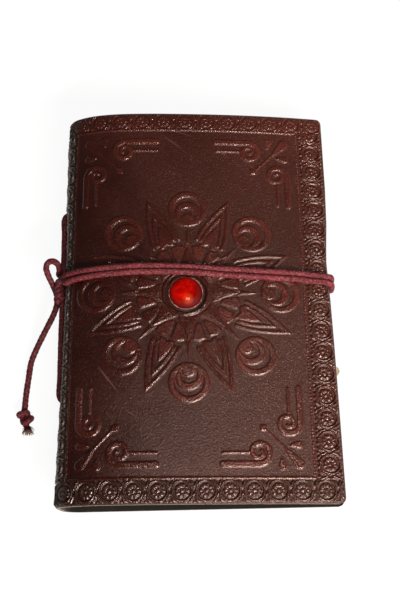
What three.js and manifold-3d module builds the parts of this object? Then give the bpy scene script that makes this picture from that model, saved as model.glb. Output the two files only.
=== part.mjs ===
// A small handmade leather journal, closed and tied with a waxed cord.
// Millimetres. +Z up, the book lies on its back cover, +X runs to the fore-edge, +Y to the head.
import * as THREE from 'three';
import { mergeVertices } from 'three/addons/utils/BufferGeometryUtils.js';
import Module from 'manifold-3d';

const wasm = await Module();
wasm.setup();

// Covers
const coverHeight = 153;
const foreEdgeX = 51;
const spineX = -51;
const spineThickness = 20;
const foreEdgeThickness = 10.5;
const crownFlat = 15;
const crownRise = 40;
const crownDecay = 0.19;
const crownTurn = 1.13;
const leather = 1.8;
const spineRadius = 7;
const cornerRadius = 2.2;
const hingeGap = 0.3;

// Pages
const signatureCount = 10;
const lowerSignatures = 5;
const pageHeight = 147;
const foreEdgeInset = 3.4;
const deckle = 0.45;
const pageGap = 0.12;
const blockGap = 0.3;
const sliverY = -30.5;
const sliverLength = 7.5;
const sliverReach = 4.6;

// Stone
const stoneX = -3.8;
const stoneY = -0.2;
const stoneRadius = 6;
const stoneDome = 3.1;
const stoneBevel = 0.5;
const windowClearance = 0.35;
const ringInner = 6.6;
const ringOuter = 7.5;
const ringHeight = 0.9;
const backingRadius = 8.6;
const backingThickness = 0.6;
const seatGap = 0.3;

// Cord
const cordDiameter = 2.2;
const cordGap = 0.3;
const turnGap = 0.52;
const pressedRamp = 5;
const strandHoleY = 37.5;
const strandZ = 12;
const strandBend = 1.6;
const hitchTurns = 3;
const hitchY = 5;
const hitchSeat = 1;
const tieY = 12.2;
const strandSides = 8;
const turnSides = 6;
const turnSteps = 24;
const knotRadius = 3.1;
const knotLength = 6.2;
const frayLength = 5;
const frayRadius = 1.9;
const edgeSink = 0.4;
const crossingLean = 0.6;

const cordRadius = cordDiameter / 2;
const pairHalf = (cordDiameter + turnGap) / 2;
const bendX = spineX + spineRadius;
const upperBendZ = spineThickness - spineRadius;
const pressedDepth = cordDiameter + cordGap;
const pressedHalf = pairHalf + cordRadius + cordGap;

// Where the spine's upper bend passes into the front cover.
const crownX = bendX - spineRadius * Math.cos(crownTurn);
const crownZ = upperBendZ + spineRadius * Math.sin(crownTurn);

// Height of the front cover's outer surface: it swells past the spine, then falls to the fore-edge.
function frontHeight(x) {
  const u = (x - crownX) / (foreEdgeX - crownX);
  const crown = u * (1 - u) * (crownFlat + crownRise * Math.exp(-u / crownDecay));
  return crownZ + (foreEdgeThickness - crownZ) * u + crown;
}

function frontSlope(x) {
  return (frontHeight(x + 0.5) - frontHeight(x - 0.5));
}

// Where the pair of strands lies on the front cover, from the spine to the fore-edge.
function pairY(x) {
  const places = [[-50, 7.1], [-44, 7.9], [-35, 8.4], [-20, 9.2], [-4, 8.6], [20, 7.5], [51, 6.9]];
  const i = places.findIndex((p) => p[0] >= x);
  if (i === 0) return places[0][1];
  if (i < 0) return places[places.length - 1][1];
  const [a, b] = [places[i - 1], places[i]];
  return THREE.MathUtils.mapLinear(x, a[0], b[0], a[1], b[1]);
}

// The two strands under the book lie in a pressed groove, which runs a little askew.
const underForeY = pairY(foreEdgeX);
const underSpineY = (pairY(spineX) + pairHalf + tieY) / 2;
const underSpineHalf = (tieY - pairY(spineX) - pairHalf) / 2;

function pressed(x, y) {
  const u = THREE.MathUtils.clamp((x - bendX) / (foreEdgeX - bendX), 0, 1);
  const middle = THREE.MathUtils.lerp(underSpineY, underForeY, u);
  const half = THREE.MathUtils.lerp(underSpineHalf + cordRadius + cordGap, pressedHalf, u);
  const beyond = THREE.MathUtils.clamp((Math.abs(y - middle) - half) / pressedRamp, 0, 1);
  return 0.5 * (1 + Math.cos(Math.PI * beyond));
}

// A point of the lower bend round the spine: turn 0 is at the back, a quarter turn is underneath.
function lowerBend(turn, y, inset) {
  const radius = spineRadius - inset - pressedDepth * pressed(bendX, y) * Math.sin(turn) ** 2;
  return [bendX - radius * Math.cos(turn), spineRadius - radius * Math.sin(turn)];
}

function upperBend(turn, inset) {
  const radius = spineRadius - inset;
  return [bendX - radius * Math.cos(turn), upperBendZ + radius * Math.sin(turn)];
}

// The innermost x that a page may reach at a height, inside the leather of the spine.
function insideSpineX(z, y) {
  const inset = leather + blockGap;
  if (z >= upperBendZ) {
    const side = (spineRadius - inset) ** 2 - (z - upperBendZ) ** 2;
    return bendX - Math.sqrt(Math.max(0, side));
  }
  if (z >= spineRadius) return spineX + inset;
  let [low, high] = [0, Math.PI / 2];
  for (let i = 0; i < 30; i++) {
    const middle = (low + high) / 2;
    if (lowerBend(middle, y, inset)[1] > z) low = middle;
    else high = middle;
  }
  return lowerBend(low, y, inset)[0];
}

function spread(from, to, count) {
  return Array.from({ length: count + 1 }, (_, i) => from + ((to - from) * i) / count);
}

// Rows across the book: even ones over its whole height and close ones over the pressed groove.
function rows(height, evenCount) {
  const near = spread(underForeY - pressedHalf - pressedRamp, underSpineY + pressedHalf + pressedRamp, 9);
  const even = spread(-height / 2, height / 2, evenCount);
  const clear = even.filter((y) => y < near[0] - 3 || y > near[near.length - 1] + 3);
  return [...clear, ...near].sort((a, b) => a - b);
}

// Closed solid through loops of equal length, each loop a list of Vector3. Four-sided patches are
// split the same way on upper and lower sides, so that stacked sheets nest.
function loft(loops) {
  const count = loops[0].length;
  const positions = loops.flat().flatMap((p) => [p.x, p.y, p.z]);
  const index = [];
  for (let j = 0; j + 1 < loops.length; j++) {
    for (let i = 0; i < count; i++) {
      const [a, b] = [j * count + i, j * count + ((i + 1) % count)];
      const onward = loops[j][i].x <= loops[j][(i + 1) % count].x;
      if (onward) index.push(a, b, b + count, a, b + count, a + count);
      else index.push(a, b, a + count, b, b + count, a + count);
    }
  }
  const last = (loops.length - 1) * count;
  for (const [start, loop, flip] of [[0, loops[0], true], [last, loops[loops.length - 1], false]]) {
    const centre = loop.reduce((sum, p) => sum.add(p), new THREE.Vector3()).divideScalar(count);
    const normal = new THREE.Vector3();
    loop.forEach((p, i) => {
      const q = loop[(i + 1) % count];
      normal.add(new THREE.Vector3().subVectors(p, centre).cross(new THREE.Vector3().subVectors(q, centre)));
    });
    normal.normalize();
    const side = new THREE.Vector3().subVectors(loop[0], centre).projectOnPlane(normal).normalize();
    const up = new THREE.Vector3().crossVectors(normal, side);
    const flat = loop.map((p) => {
      const d = new THREE.Vector3().subVectors(p, centre);
      return new THREE.Vector2(d.dot(side), d.dot(up));
    });
    for (const [a, b, c] of THREE.ShapeUtils.triangulateShape(flat, [])) {
      if (flip) index.push(start + a, start + c, start + b);
      else index.push(start + a, start + b, start + c);
    }
  }
  const geometry = new THREE.BufferGeometry();
  geometry.setAttribute('position', new THREE.Float32BufferAttribute(positions, 3));
  geometry.setIndex(index);
  return geometry;
}

// Rings of a tube at each point of a path, kept from twisting.
function tube(points, radius, sides) {
  const along = points.map((p, i) => {
    const before = points[Math.max(i - 1, 0)];
    const after = points[Math.min(i + 1, points.length - 1)];
    return new THREE.Vector3().subVectors(after, before).normalize();
  });
  let side = new THREE.Vector3(0, 0, 1);
  if (Math.abs(along[0].z) > 0.9) side = new THREE.Vector3(0, 1, 0);
  const loops = points.map((p, i) => {
    side.projectOnPlane(along[i]).normalize();
    const up = new THREE.Vector3().crossVectors(along[i], side);
    return spread(0, 2 * Math.PI, sides).slice(0, sides).map((turn) => new THREE.Vector3()
      .copy(p)
      .addScaledVector(side, radius * Math.cos(turn))
      .addScaledVector(up, radius * Math.sin(turn)));
  });
  return loft(loops);
}

function solid(geometry) {
  const bare = geometry.clone();
  bare.deleteAttribute('normal');
  bare.deleteAttribute('uv');
  const merged = mergeVertices(bare, 1e-4);
  return new wasm.Manifold(new wasm.Mesh({
    numProp: 3,
    vertProperties: new Float32Array(merged.attributes.position.array),
    triVerts: new Uint32Array(merged.index.array),
  }));
}

function surface(manifold) {
  const mesh = manifold.getMesh();
  const geometry = new THREE.BufferGeometry();
  geometry.setAttribute('position', new THREE.BufferAttribute(mesh.vertProperties, 3));
  geometry.setIndex(new THREE.BufferAttribute(mesh.triVerts, 1));
  return geometry;
}

// The stone sits square to the cover, which slopes.
const stonePlace = new THREE.Matrix4()
  .makeTranslation(stoneX, stoneY, frontHeight(stoneX))
  .multiply(new THREE.Matrix4().makeRotationY(-Math.atan(frontSlope(stoneX))));

// Turned shape about the stone's axis from a profile of radius and height.
function turned(profile, segments) {
  const points = profile.map(([r, z]) => new THREE.Vector2(r, z));
  return new THREE.LatheGeometry(points, segments).rotateX(Math.PI / 2).applyMatrix4(stonePlace);
}

function disc(radius, low, high) {
  return turned([[0, low], [radius, low], [radius, high], [0, high]], 32);
}

// How far the fore-edge draws back near the rounded corners.
function cornerInset(y) {
  const into = Math.abs(y) - (coverHeight / 2 - cornerRadius);
  if (into <= 0) return 0;
  return cornerRadius - Math.sqrt(Math.max(0, cornerRadius ** 2 - into ** 2));
}

function coverRows() {
  const half = coverHeight / 2;
  const ends = [0, 0.25, 0.6].map((share) => half - share * cornerRadius);
  const corner = half - cornerRadius;
  return [...ends.map((y) => -y), ...spread(-corner, corner, 6), ...ends.reverse()];
}

// Stations across the front cover, closer together where it swells.
const coverShares = [0.04, 0.08, 0.13, 0.19, 0.27, 0.38, 0.52, 0.68, 0.84, 1];

function frontCover() {
  const start = Math.PI / 4 + hingeGap / 2 / spineRadius;
  const loops = coverRows().map((y) => {
    const end = foreEdgeX - cornerInset(y);
    const outer = spread(start, crownTurn, 3).map((turn) => upperBend(turn, 0));
    const inner = spread(start, crownTurn, 3).map((turn) => upperBend(turn, leather));
    coverShares.forEach((share) => {
      const x = THREE.MathUtils.lerp(crownX, end, share);
      outer.push([x, frontHeight(x)]);
      inner.push([x, frontHeight(x) - leather]);
    });
    return [...outer, ...inner.reverse()].map(([x, z]) => new THREE.Vector3(x, y, z));
  });
  const window = disc(stoneRadius + windowClearance, -3 * leather, 3 * leather);
  const recess = disc(backingRadius + seatGap, -3 * leather, -leather + backingThickness + seatGap);
  const ring = turned([
    [ringInner, -leather / 3], [ringOuter, -leather / 3], [ringOuter, ringHeight * 0.4],
    [ringOuter - 0.2, ringHeight * 0.85], [(ringInner + ringOuter) / 2, ringHeight],
    [ringInner + 0.1, ringHeight * 0.8], [ringInner, -leather / 3],
  ], 32);
  return surface(solid(loft(loops)).add(solid(ring)).subtract(solid(window)).subtract(solid(recess)));
}

function backCover() {
  const start = Math.PI / 4 + hingeGap / 2 / spineRadius;
  const half = coverHeight / 2;
  const ends = [0, 0.25, 0.6, 1].map((share) => half - share * cornerRadius);
  const inner = rows(coverHeight, 8).filter((y) => Math.abs(y) < half - cornerRadius);
  const loops = [...ends.map((y) => -y), ...inner, ...ends.reverse()].map((y) => {
    const end = foreEdgeX - cornerInset(y);
    const under = spread(start, Math.PI / 2, 4).map((turn) => lowerBend(turn, y, 0));
    const over = spread(start, Math.PI / 2, 4).map((turn) => lowerBend(turn, y, leather));
    spread(bendX, end, 6).slice(1).forEach((x) => {
      under.push([x, pressedDepth * pressed(x, y)]);
      over.push([x, pressedDepth * pressed(x, y) + leather]);
    });
    return [...over, ...under.reverse()].map(([x, z]) => new THREE.Vector3(x, y, z));
  });
  return loft(loops);
}

// Where the spine strand and the hitch round it lie.
const strandX = spineX - cordGap - cordRadius;
const hitchRadius = cordDiameter + (cordGap + turnGap) / 2;
const hitchPitch = cordDiameter + turnGap;
const hitchX = spineX + hitchSeat - cordGap - cordRadius - hitchRadius;
const hitchEndY = hitchY - hitchTurns * hitchPitch;

function alongY(x, z, radius, from, to) {
  return new THREE.CylinderGeometry(radius, radius, to - from, 24).translate(x, (from + to) / 2, z);
}

function alongX(y, z, radius, from, to) {
  return new THREE.CylinderGeometry(radius, radius, to - from, 16)
    .rotateZ(Math.PI / 2)
    .translate((from + to) / 2, y, z);
}

function spineCover() {
  const end = Math.PI / 4 - hingeGap / 2 / spineRadius;
  const loops = rows(coverHeight, 8).map((y) => {
    const outside = spread(end, 0, 4).map((turn) => lowerBend(turn, y, 0));
    outside.push(...spread(0, end, 4).map((turn) => upperBend(turn, 0)));
    const inside = spread(end, 0, 4).map((turn) => upperBend(turn, leather));
    inside.push(...spread(0, end, 4).map((turn) => lowerBend(turn, y, leather)));
    return [...outside, ...inside].map(([x, z]) => new THREE.Vector3(x, y, z));
  });
  const room = cordRadius + cordGap;
  const seat = alongY(hitchX, strandZ, hitchRadius + room, hitchEndY - room, hitchY + room);
  let body = solid(loft(loops)).subtract(solid(seat));
  for (const y of [-strandHoleY, strandHoleY]) {
    body = body.subtract(solid(alongX(y, strandZ, room, spineX - leather, spineX + 2 * leather)));
  }
  return surface(body);
}

function stone() {
  const base = -leather + backingThickness + 2 * seatGap;
  const dome = spread(0, Math.PI / 2, 7).map((turn) => [
    stoneRadius * Math.cos(turn) ** 0.8, stoneBevel + (stoneDome - stoneBevel) * Math.sin(turn),
  ]);
  dome[dome.length - 1][0] = 0;
  return turned([[0, base], [stoneRadius - 0.3, base], [stoneRadius, base + 0.3], ...dome], 28);
}

// Height of the page block's lower and upper limits.
function blockLow(x, y) {
  return leather + blockGap + pressedDepth * pressed(Math.max(x, bendX), y);
}

const foldEndX = bendX + 2;
const foldSlope = (frontHeight(foldEndX) - frontHeight(crownX)) / (foldEndX - crownX);

function blockHigh(x) {
  const fall = foldSlope * Math.max(0, foldEndX - x);
  return frontHeight(Math.max(x, foldEndX)) - fall - leather - blockGap;
}

// All sections bend at the same places, so that they nest.
const sharedX = [foldEndX, -37, -30, -19, 2, 25, foreEdgeX - foreEdgeInset - 2 * deckle];

// One folded section of handmade paper: a rounded fold at the spine and a wavy deckle fore-edge.
function signature(k) {
  const level = (x, y, share) => THREE.MathUtils.lerp(blockLow(x, y), blockHigh(x), share);
  const torn = k === signatureCount - 2;
  const tear = torn ? spread(sliverY - sliverLength / 2 - 1, sliverY + sliverLength / 2 + 1, 6) : [];
  const even = rows(pageHeight, 8).filter((y) => !torn || y < tear[0] - 1 || y > tear[6] + 1);
  const loops = [...even, ...tear].sort((a, b) => a - b).map((y) => {
    const low = k / signatureCount;
    const high = (k + 1) / signatureCount;
    const foldLow = level(crownX, y, low) + pageGap / 2;
    const foldHigh = level(crownX, y, high) - pageGap / 2;
    const swell = (foldHigh - foldLow) / 2;
    const fold = Math.max(insideSpineX(foldLow, y), insideSpineX(foldHigh, y)) + 0.02;
    const wave = deckle * (Math.sin(y / 9 + 2.1 * k) + 0.6 * Math.sin(y / 4.3 + 1.3 * k * k));
    const flap = torn ? Math.max(0, 1 - (Math.abs(y - sliverY) / (sliverLength / 2)) ** 2) : 0;
    const end = foreEdgeX - foreEdgeInset + wave + sliverReach * Math.sqrt(flap);
    const stations = [fold + swell, ...sharedX, end];
    const under = stations.map((x) => [x, level(x, y, low) + pageGap / 2]);
    const over = stations.map((x) => [x, level(x, y, high) - pageGap / 2]);
    const middle = (foldLow + foldHigh) / 2;
    const round = [-0.5, 0, 0.5].map((share) => [
      fold + swell * (1 - Math.cos(share * Math.PI * 0.6)), middle + swell * Math.sin(share * Math.PI * 0.6),
    ]);
    return [...round, ...over, ...under.reverse()].map(([x, z]) => new THREE.Vector3(x, y, z));
  });
  return loft(loops);
}

function catmull(places, steps) {
  const curve = new THREE.CatmullRomCurve3(places.map((p) => new THREE.Vector3(...p)), false, 'centripetal');
  return { curve, points: curve.getSpacedPoints(steps) };
}

function round(radius, sides) {
  return new THREE.Shape(spread(0, 2 * Math.PI, sides).slice(0, sides)
    .map((turn) => new THREE.Vector2(radius * Math.cos(turn), radius * Math.sin(turn))));
}

function cord(places, steps) {
  const { curve } = catmull(places, steps);
  return new THREE.ExtrudeGeometry(round(cordRadius, strandSides), {
    steps, bevelEnabled: false, extrudePath: curve,
  });
}

// The strand down the outside of the spine, through a hole at each end and lifted by the hitch.
function strandPlaces() {
  const middle = (hitchY + hitchEndY) / 2;
  const inside = spineX + leather - 0.1;
  const outX = (y) => THREE.MathUtils.lerp(strandX, hitchX, Math.exp(-(((y - middle) / 13) ** 4)));
  const bend = strandHoleY - strandBend;
  const run = spread(-bend, bend, 12).map((y) => [outX(y), y, strandZ]);
  const mouth = spineX - cordRadius / 2;
  return [
    [inside, -strandHoleY, strandZ], [mouth, -strandHoleY, strandZ],
    ...run,
    [mouth, strandHoleY, strandZ], [inside, strandHoleY, strandZ],
  ];
}

// The tangent that leaves the upper bend of the spine and meets the outside of the hitch.
const bendReach = spineRadius + cordGap + cordRadius;
const hitchAway = new THREE.Vector2(hitchX - bendX, strandZ - upperBendZ);
const hitchStart = hitchAway.angle() - Math.acos((bendReach - hitchRadius) / hitchAway.length());

function around(centreX, centreZ, radius, turn, y) {
  return new THREE.Vector3(centreX + radius * Math.cos(turn), y, centreZ + radius * Math.sin(turn));
}

const hitchFirst = around(hitchX, strandZ, hitchRadius, hitchStart, hitchY);
const hitchWay = new THREE.Vector3(
  -Math.sin(hitchStart), -hitchPitch / (2 * Math.PI * hitchRadius), Math.cos(hitchStart)).normalize();

function hitchPoints() {
  const coil = spread(0, hitchTurns, hitchTurns * turnSteps).map((n) => around(
    hitchX, strandZ, hitchRadius, hitchStart + 2 * Math.PI * n, hitchY - n * hitchPitch));
  return [hitchFirst.clone().addScaledVector(hitchWay, -cordDiameter), ...coil];
}

// Outside the strand at its most lifted, and where the winding ends and the free tail goes on.
const clearX = hitchX - cordDiameter - cordGap;
const tieEnd = new THREE.Vector3(clearX + 0.5, tieY, strandZ - 2);
const tieWay = new THREE.Vector3(-0.5, 0, 0.87).normalize();

// Two turns round the book, from the hitch over the front, round the fore-edge, through the pressed
// groove and up the spine outside the strand, then once more, ending below the strand.
function wrapPoints() {
  const off = cordGap + cordRadius;
  const foreX = foreEdgeX + off;
  const meet = hitchFirst.clone().addScaledVector(hitchWay, -cordDiameter - cordGap);
  const points = [meet, meet.clone().addScaledVector(hitchWay, -cordDiameter)];
  const ringSide = ringOuter + off + 1.6;
  const onRing = ringOuter - 2;
  const frontX = [
    crownX + 2, bendX + 2, -38, -32, -24,
    stoneX - ringSide, stoneX - onRing, stoneX, stoneX + onRing, stoneX + ringSide,
    16, 28, 40, foreEdgeX - 1,
  ];
  for (const lane of [-1, 1]) {
    const y = (x) => pairY(x) + lane * pairHalf;
    const overTurn = lane < 0 ? hitchStart - 0.25 : Math.PI * 0.8;
    spread(overTurn, Math.PI - crownTurn, 2).forEach((turn) => {
      points.push(around(bendX, upperBendZ, bendReach, turn, y(bendX + bendReach * Math.cos(turn))));
    });
    frontX.forEach((x) => {
      const overRing = lane < 0 && Math.abs(x - stoneX) < ringSide ? ringHeight : 0;
      const over = off * Math.hypot(1, frontSlope(x));
      points.push(new THREE.Vector3(x, y(x), frontHeight(x) + over + overRing));
    });
    const foreY = y(foreEdgeX);
    const topZ = foreEdgeThickness;
    [0.25, 0.6, 1].forEach((share) => {
      const turn = (share * Math.PI) / 2;
      points.push(new THREE.Vector3(
        foreX - off + off * Math.sin(turn), foreY, topZ + off * Math.cos(turn) - edgeSink * share));
    });
    points.push(new THREE.Vector3(foreX, foreY, pressedDepth + leather / 2));
    [0.5, 1].forEach((share) => {
      const turn = (share * Math.PI) / 2;
      points.push(new THREE.Vector3(
        foreEdgeX + off * Math.cos(turn), foreY, pressedDepth + off - cordRadius - off * Math.sin(turn)));
    });
    const backY = lane < 0 ? pairY(spineX) + pairHalf : tieY;
    spread(foreEdgeX - 1, bendX, 3).slice(1).forEach((x) => {
      const u = (foreEdgeX - x) / (foreEdgeX - bendX);
      points.push(new THREE.Vector3(x, THREE.MathUtils.lerp(foreY, backY, u), cordRadius));
    });
    spread(Math.PI / 2, 0, 4).slice(1).forEach((turn) => {
      const [x, z] = lowerBend(turn, backY, -off);
      points.push(new THREE.Vector3(x, backY, z));
    });
    if (lane < 0) {
      points.push(new THREE.Vector3(clearX + crossingLean, backY, strandZ - cordDiameter));
      points.push(new THREE.Vector3(clearX, backY, strandZ));
      points.push(new THREE.Vector3(clearX + crossingLean, backY, strandZ + cordDiameter));
    } else {
      points.push(tieEnd.clone().addScaledVector(tieWay, -cordDiameter), tieEnd);
    }
  }
  return points;
}

// The free tail: a bight beside the strand, back behind the hitch, down to the table and along it.
const tailPlaces = [
  tieEnd.clone().addScaledVector(tieWay, cordGap).toArray(),
  tieEnd.clone().addScaledVector(tieWay, cordGap + cordDiameter).toArray(),
  [-57, 14.6, 13.9], [-57, 16.8, 14.5], [-58.4, 18.3, 14.4], [-60.2, 17.8, 13.9],
  [-60.8, 15.7, 13], [-60, 13, 12], [-59.2, 9.8, 10.7], [-58.8, 6, 9.5], [-58.4, 2, 8.5],
  [-57.9, -2, 7.6], [-58.9, -5.6, 6], [-61, -9, 4.2], [-63.8, -12.4, 2.4], [-66.4, -16, 1.25],
  [-67.6, -21, 1.12], [-68.1, -27, 1.12], [-68.5, -32, 1.3], [-68.5, -36.8, 2.2],
];
const knotWay = new THREE.Vector3(0.2, -1, 0).normalize();
const knotCentre = new THREE.Vector3(...tailPlaces[tailPlaces.length - 1])
  .addScaledVector(knotWay, cordGap + knotLength / 2);

function onKnotAxis(geometry, distance) {
  const turn = new THREE.Quaternion().setFromUnitVectors(new THREE.Vector3(0, 1, 0), knotWay);
  return geometry
    .applyQuaternion(turn)
    .translate(...knotCentre.clone().addScaledVector(knotWay, distance).toArray());
}

function endKnot() {
  const profile = spread(0, 1, 10).map((share) => {
    const bulge = Math.sqrt(Math.max(0, 1 - (2 * share - 1) ** 2));
    const waist = 1 - 0.14 * Math.cos(Math.PI * (2 * share - 1)) ** 2;
    return new THREE.Vector2(0.82 * knotRadius * bulge * waist, knotLength * (share - 0.5));
  });
  return onKnotAxis(new THREE.LatheGeometry(profile, 14), 0);
}

function frayedTip() {
  const neck = 0.4 * frayRadius;
  const profile = [
    [0, 0], [neck, 0], [1.4 * neck, 1.2], [0.75 * frayRadius, frayLength - 1],
    [0.6 * frayRadius, frayLength], [0, frayLength],
  ].map(([r, z]) => new THREE.Vector2(r, z));
  return onKnotAxis(new THREE.LatheGeometry(profile, 10), knotLength / 2 + cordGap);
}

// Least distance between stretches of one tube that aren't neighbours, from surface to surface.
function gapToItself(points, radius) {
  const curve = new THREE.CurvePath();
  for (let i = 1; i < points.length; i++) curve.add(new THREE.LineCurve3(points[i - 1], points[i]));
  const length = curve.getLength();
  const fine = curve.getSpacedPoints(Math.ceil(length / 0.5));
  const step = length / (fine.length - 1);
  const skip = Math.ceil((Math.PI * radius * 2.2) / step);
  let least = Infinity;
  for (let i = 0; i < fine.length; i++) {
    for (let j = i + skip; j < fine.length; j++) least = Math.min(least, fine[i].distanceTo(fine[j]));
  }
  return least - 2 * radius;
}

const leatherLook = { color: 0x3a1c17, roughness: 0.55, metalness: 0 };
const paperLook = { color: 0xe6d7b4, roughness: 0.95, metalness: 0 };
const stoneLook = { color: 0xc00808, roughness: 0.12, metalness: 0 };
const cordLook = { color: 0x6a222c, roughness: 0.6, metalness: 0 };
const frayLook = { color: 0xb08478, roughness: 0.9, metalness: 0 };

const group = new THREE.Group();
const book = new THREE.Group();

function add(name, geometry, look) {
  const mesh = new THREE.Mesh(geometry, new THREE.MeshStandardMaterial(look));
  mesh.name = name;
  book.add(mesh);
}

add('front_cover', frontCover(), leatherLook);
add('spine_cover', spineCover(), leatherLook);
add('back_cover', backCover(), leatherLook);
add('stone', stone(), stoneLook);
add('stone_backing', disc(backingRadius, -leather, -leather + backingThickness), leatherLook);
for (let k = 0; k < signatureCount; k++) {
  const half = k < lowerSignatures ? 'lower' : 'upper';
  add(`${half}_signature_${k + 1}`, signature(k), paperLook);
}
const winding = wrapPoints();
const hitch = hitchPoints();
add('spine_strand', cord(strandPlaces(), 34), cordLook);
add('wrap_cord', tube(winding, cordRadius, turnSides), cordLook);
add('hitch', tube(hitch, cordRadius, turnSides), cordLook);
add('tail_cord', cord(tailPlaces, 46), cordLook);
add('end_knot', endKnot(), cordLook);
add('frayed_tip', frayedTip(), frayLook);

console.log('gap of the winding to itself', gapToItself(winding, cordRadius).toFixed(2));
console.log('gap of the hitch to itself', gapToItself(hitch, cordRadius).toFixed(2));
console.log('length of the free tail', catmull(tailPlaces, 46).curve.getLength().toFixed(1));

// The frame's origin is under the middle of the tied book, cords round it included.
const reachLeft = hitchX - cordDiameter - cordGap - cordRadius;
const reachRight = foreEdgeX + cordGap + cordDiameter;
book.position.x = -(reachLeft + reachRight) / 2;
group.add(book);

export default group;
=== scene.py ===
import functools
import math

import bpy
import numpy as np
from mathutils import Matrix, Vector


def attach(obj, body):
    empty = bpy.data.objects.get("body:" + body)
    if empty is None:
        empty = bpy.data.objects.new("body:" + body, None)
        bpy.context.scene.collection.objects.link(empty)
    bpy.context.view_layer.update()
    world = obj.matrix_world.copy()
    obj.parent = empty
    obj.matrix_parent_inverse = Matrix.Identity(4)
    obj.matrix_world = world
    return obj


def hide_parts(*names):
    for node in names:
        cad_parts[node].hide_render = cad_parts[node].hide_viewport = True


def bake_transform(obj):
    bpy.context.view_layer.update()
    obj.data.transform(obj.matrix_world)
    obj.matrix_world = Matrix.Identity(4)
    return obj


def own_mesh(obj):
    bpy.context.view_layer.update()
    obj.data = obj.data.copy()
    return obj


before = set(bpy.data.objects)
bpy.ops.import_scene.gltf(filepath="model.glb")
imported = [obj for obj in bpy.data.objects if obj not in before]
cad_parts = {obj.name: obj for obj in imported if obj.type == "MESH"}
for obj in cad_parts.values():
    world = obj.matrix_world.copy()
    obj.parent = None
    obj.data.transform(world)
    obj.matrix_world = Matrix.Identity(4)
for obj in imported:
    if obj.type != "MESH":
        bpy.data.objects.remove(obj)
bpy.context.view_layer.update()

MM = 0.001
BOOK_SHIFT = 2.055

# Covers
HALF_HEIGHT = 76.5
FORE_EDGE = 51.0
SPINE = -51.0
SPINE_THICKNESS = 20.0
FORE_EDGE_THICKNESS = 10.5
CROWN_FLAT = 15.0
CROWN_RISE = 40.0
CROWN_DECAY = 0.19
CROWN_TURN = 1.13
LEATHER = 1.8
SPINE_RADIUS = 7.0
CORNER_RADIUS = 2.2
BEND = SPINE + SPINE_RADIUS
UPPER_BEND_Z = SPINE_THICKNESS - SPINE_RADIUS
CROWN_X = BEND - SPINE_RADIUS * math.cos(CROWN_TURN)
CROWN_Z = UPPER_BEND_Z + SPINE_RADIUS * math.sin(CROWN_TURN)
UPPER_ARC = SPINE_RADIUS * CROWN_TURN
WALL = SPINE_THICKNESS - 2 * SPINE_RADIUS

# Cord
CORD = 2.2
CORD_RADIUS = 1.2
CORD_GAP = 0.3
TURN_GAP = 0.52
PRESSED_DEPTH = CORD + CORD_GAP
PRESSED_RAMP = 5.0
PAIR_HALF = (CORD + TURN_GAP) / 2
PRESSED_HALF = PAIR_HALF + CORD / 2 + CORD_GAP
TIE_Y = 12.2
HITCH_Y = 6.6
HITCH_TURNS = 3
STRAND_Z = 12.0
HOLE_Y = 37.5

# Stone
STONE_X = -3.8
STONE_Y = -0.2
STONE_RADIUS = 6.0
WINDOW = 6.3
WINDOW_SINK = 0.45


def metres(points):
    out = np.array(points, float).reshape(-1, 3) * MM
    out[:, 0] += BOOK_SHIFT * MM
    return out


def point(x, y, z):
    return Vector(metres([[x, y, z]])[0])


def front_height(x):
    u = (x - CROWN_X) / (FORE_EDGE - CROWN_X)
    crown = u * (1 - u) * (CROWN_FLAT + CROWN_RISE * np.exp(-u / CROWN_DECAY))
    return CROWN_Z + (FORE_EDGE_THICKNESS - CROWN_Z) * u + crown


def front_slope(x):
    return front_height(x + 0.5) - front_height(x - 0.5)


PAIR_X = [-50, -44, -35, -20, -4, 20, 38, 51]
PAIR_Y = [7.1, 7.9, 8.4, 9.2, 8.6, 7.5, 6.9, 5.9]


def pair_y(x):
    return np.interp(x, PAIR_X, PAIR_Y)


UNDER_FORE_Y = 6.9
UNDER_SPINE_Y = (pair_y(SPINE) + PAIR_HALF + TIE_Y) / 2
UNDER_SPINE_HALF = (TIE_Y - pair_y(SPINE) - PAIR_HALF) / 2


def pressed(x, y):
    u = np.clip((x - BEND) / (FORE_EDGE - BEND), 0, 1)
    middle = UNDER_SPINE_Y + (UNDER_FORE_Y - UNDER_SPINE_Y) * u
    start = UNDER_SPINE_HALF + CORD / 2 + CORD_GAP
    half = start + (PRESSED_HALF - start) * u
    beyond = np.clip((np.abs(y - middle) - half) / PRESSED_RAMP, 0, 1)
    return 0.5 * (1 + np.cos(np.pi * beyond))


# The tight cord draws the spine and the fore-edge in a little; these are its places and depths.
SPINE_WAIST_Y = [-76, -60, -45, -38, -30, -11, 10, 25, 33, 38, 76]
SPINE_WAIST = [0.25, 0.5, 0.75, 0.9, 1.15, 1.2, 1.2, 0.95, 0.7, 0.4, 0]
FORE_WAIST_Y = [-76, -54, -19, -1.5, 8, 14, 20, 30, 45, 76]
FORE_WAIST = [0.2, 0.3, 0.6, 0.9, 1.3, 1.45, 1.1, 0.4, 0, 0]


def spine_waist(y):
    return np.interp(y, SPINE_WAIST_Y, SPINE_WAIST)


def fore_waist(y):
    return np.interp(y, FORE_WAIST_Y, FORE_WAIST)


# Camera

LENS = 51.4
SENSOR_WIDTH = 36
CAMERA_PLACE = (19.794, -110.024, 316.248)
CAMERA_TURN = (0.345, 0.067, -0.014)
camera_data = bpy.data.cameras.new("camera")
camera_data.lens = LENS
camera_data.sensor_width = SENSOR_WIDTH
camera = bpy.data.objects.new("camera", camera_data)
bpy.context.scene.collection.objects.link(camera)
camera.location = point(*CAMERA_PLACE)
camera.rotation_euler = CAMERA_TURN
bpy.context.scene.camera = camera


# Node helpers


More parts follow.
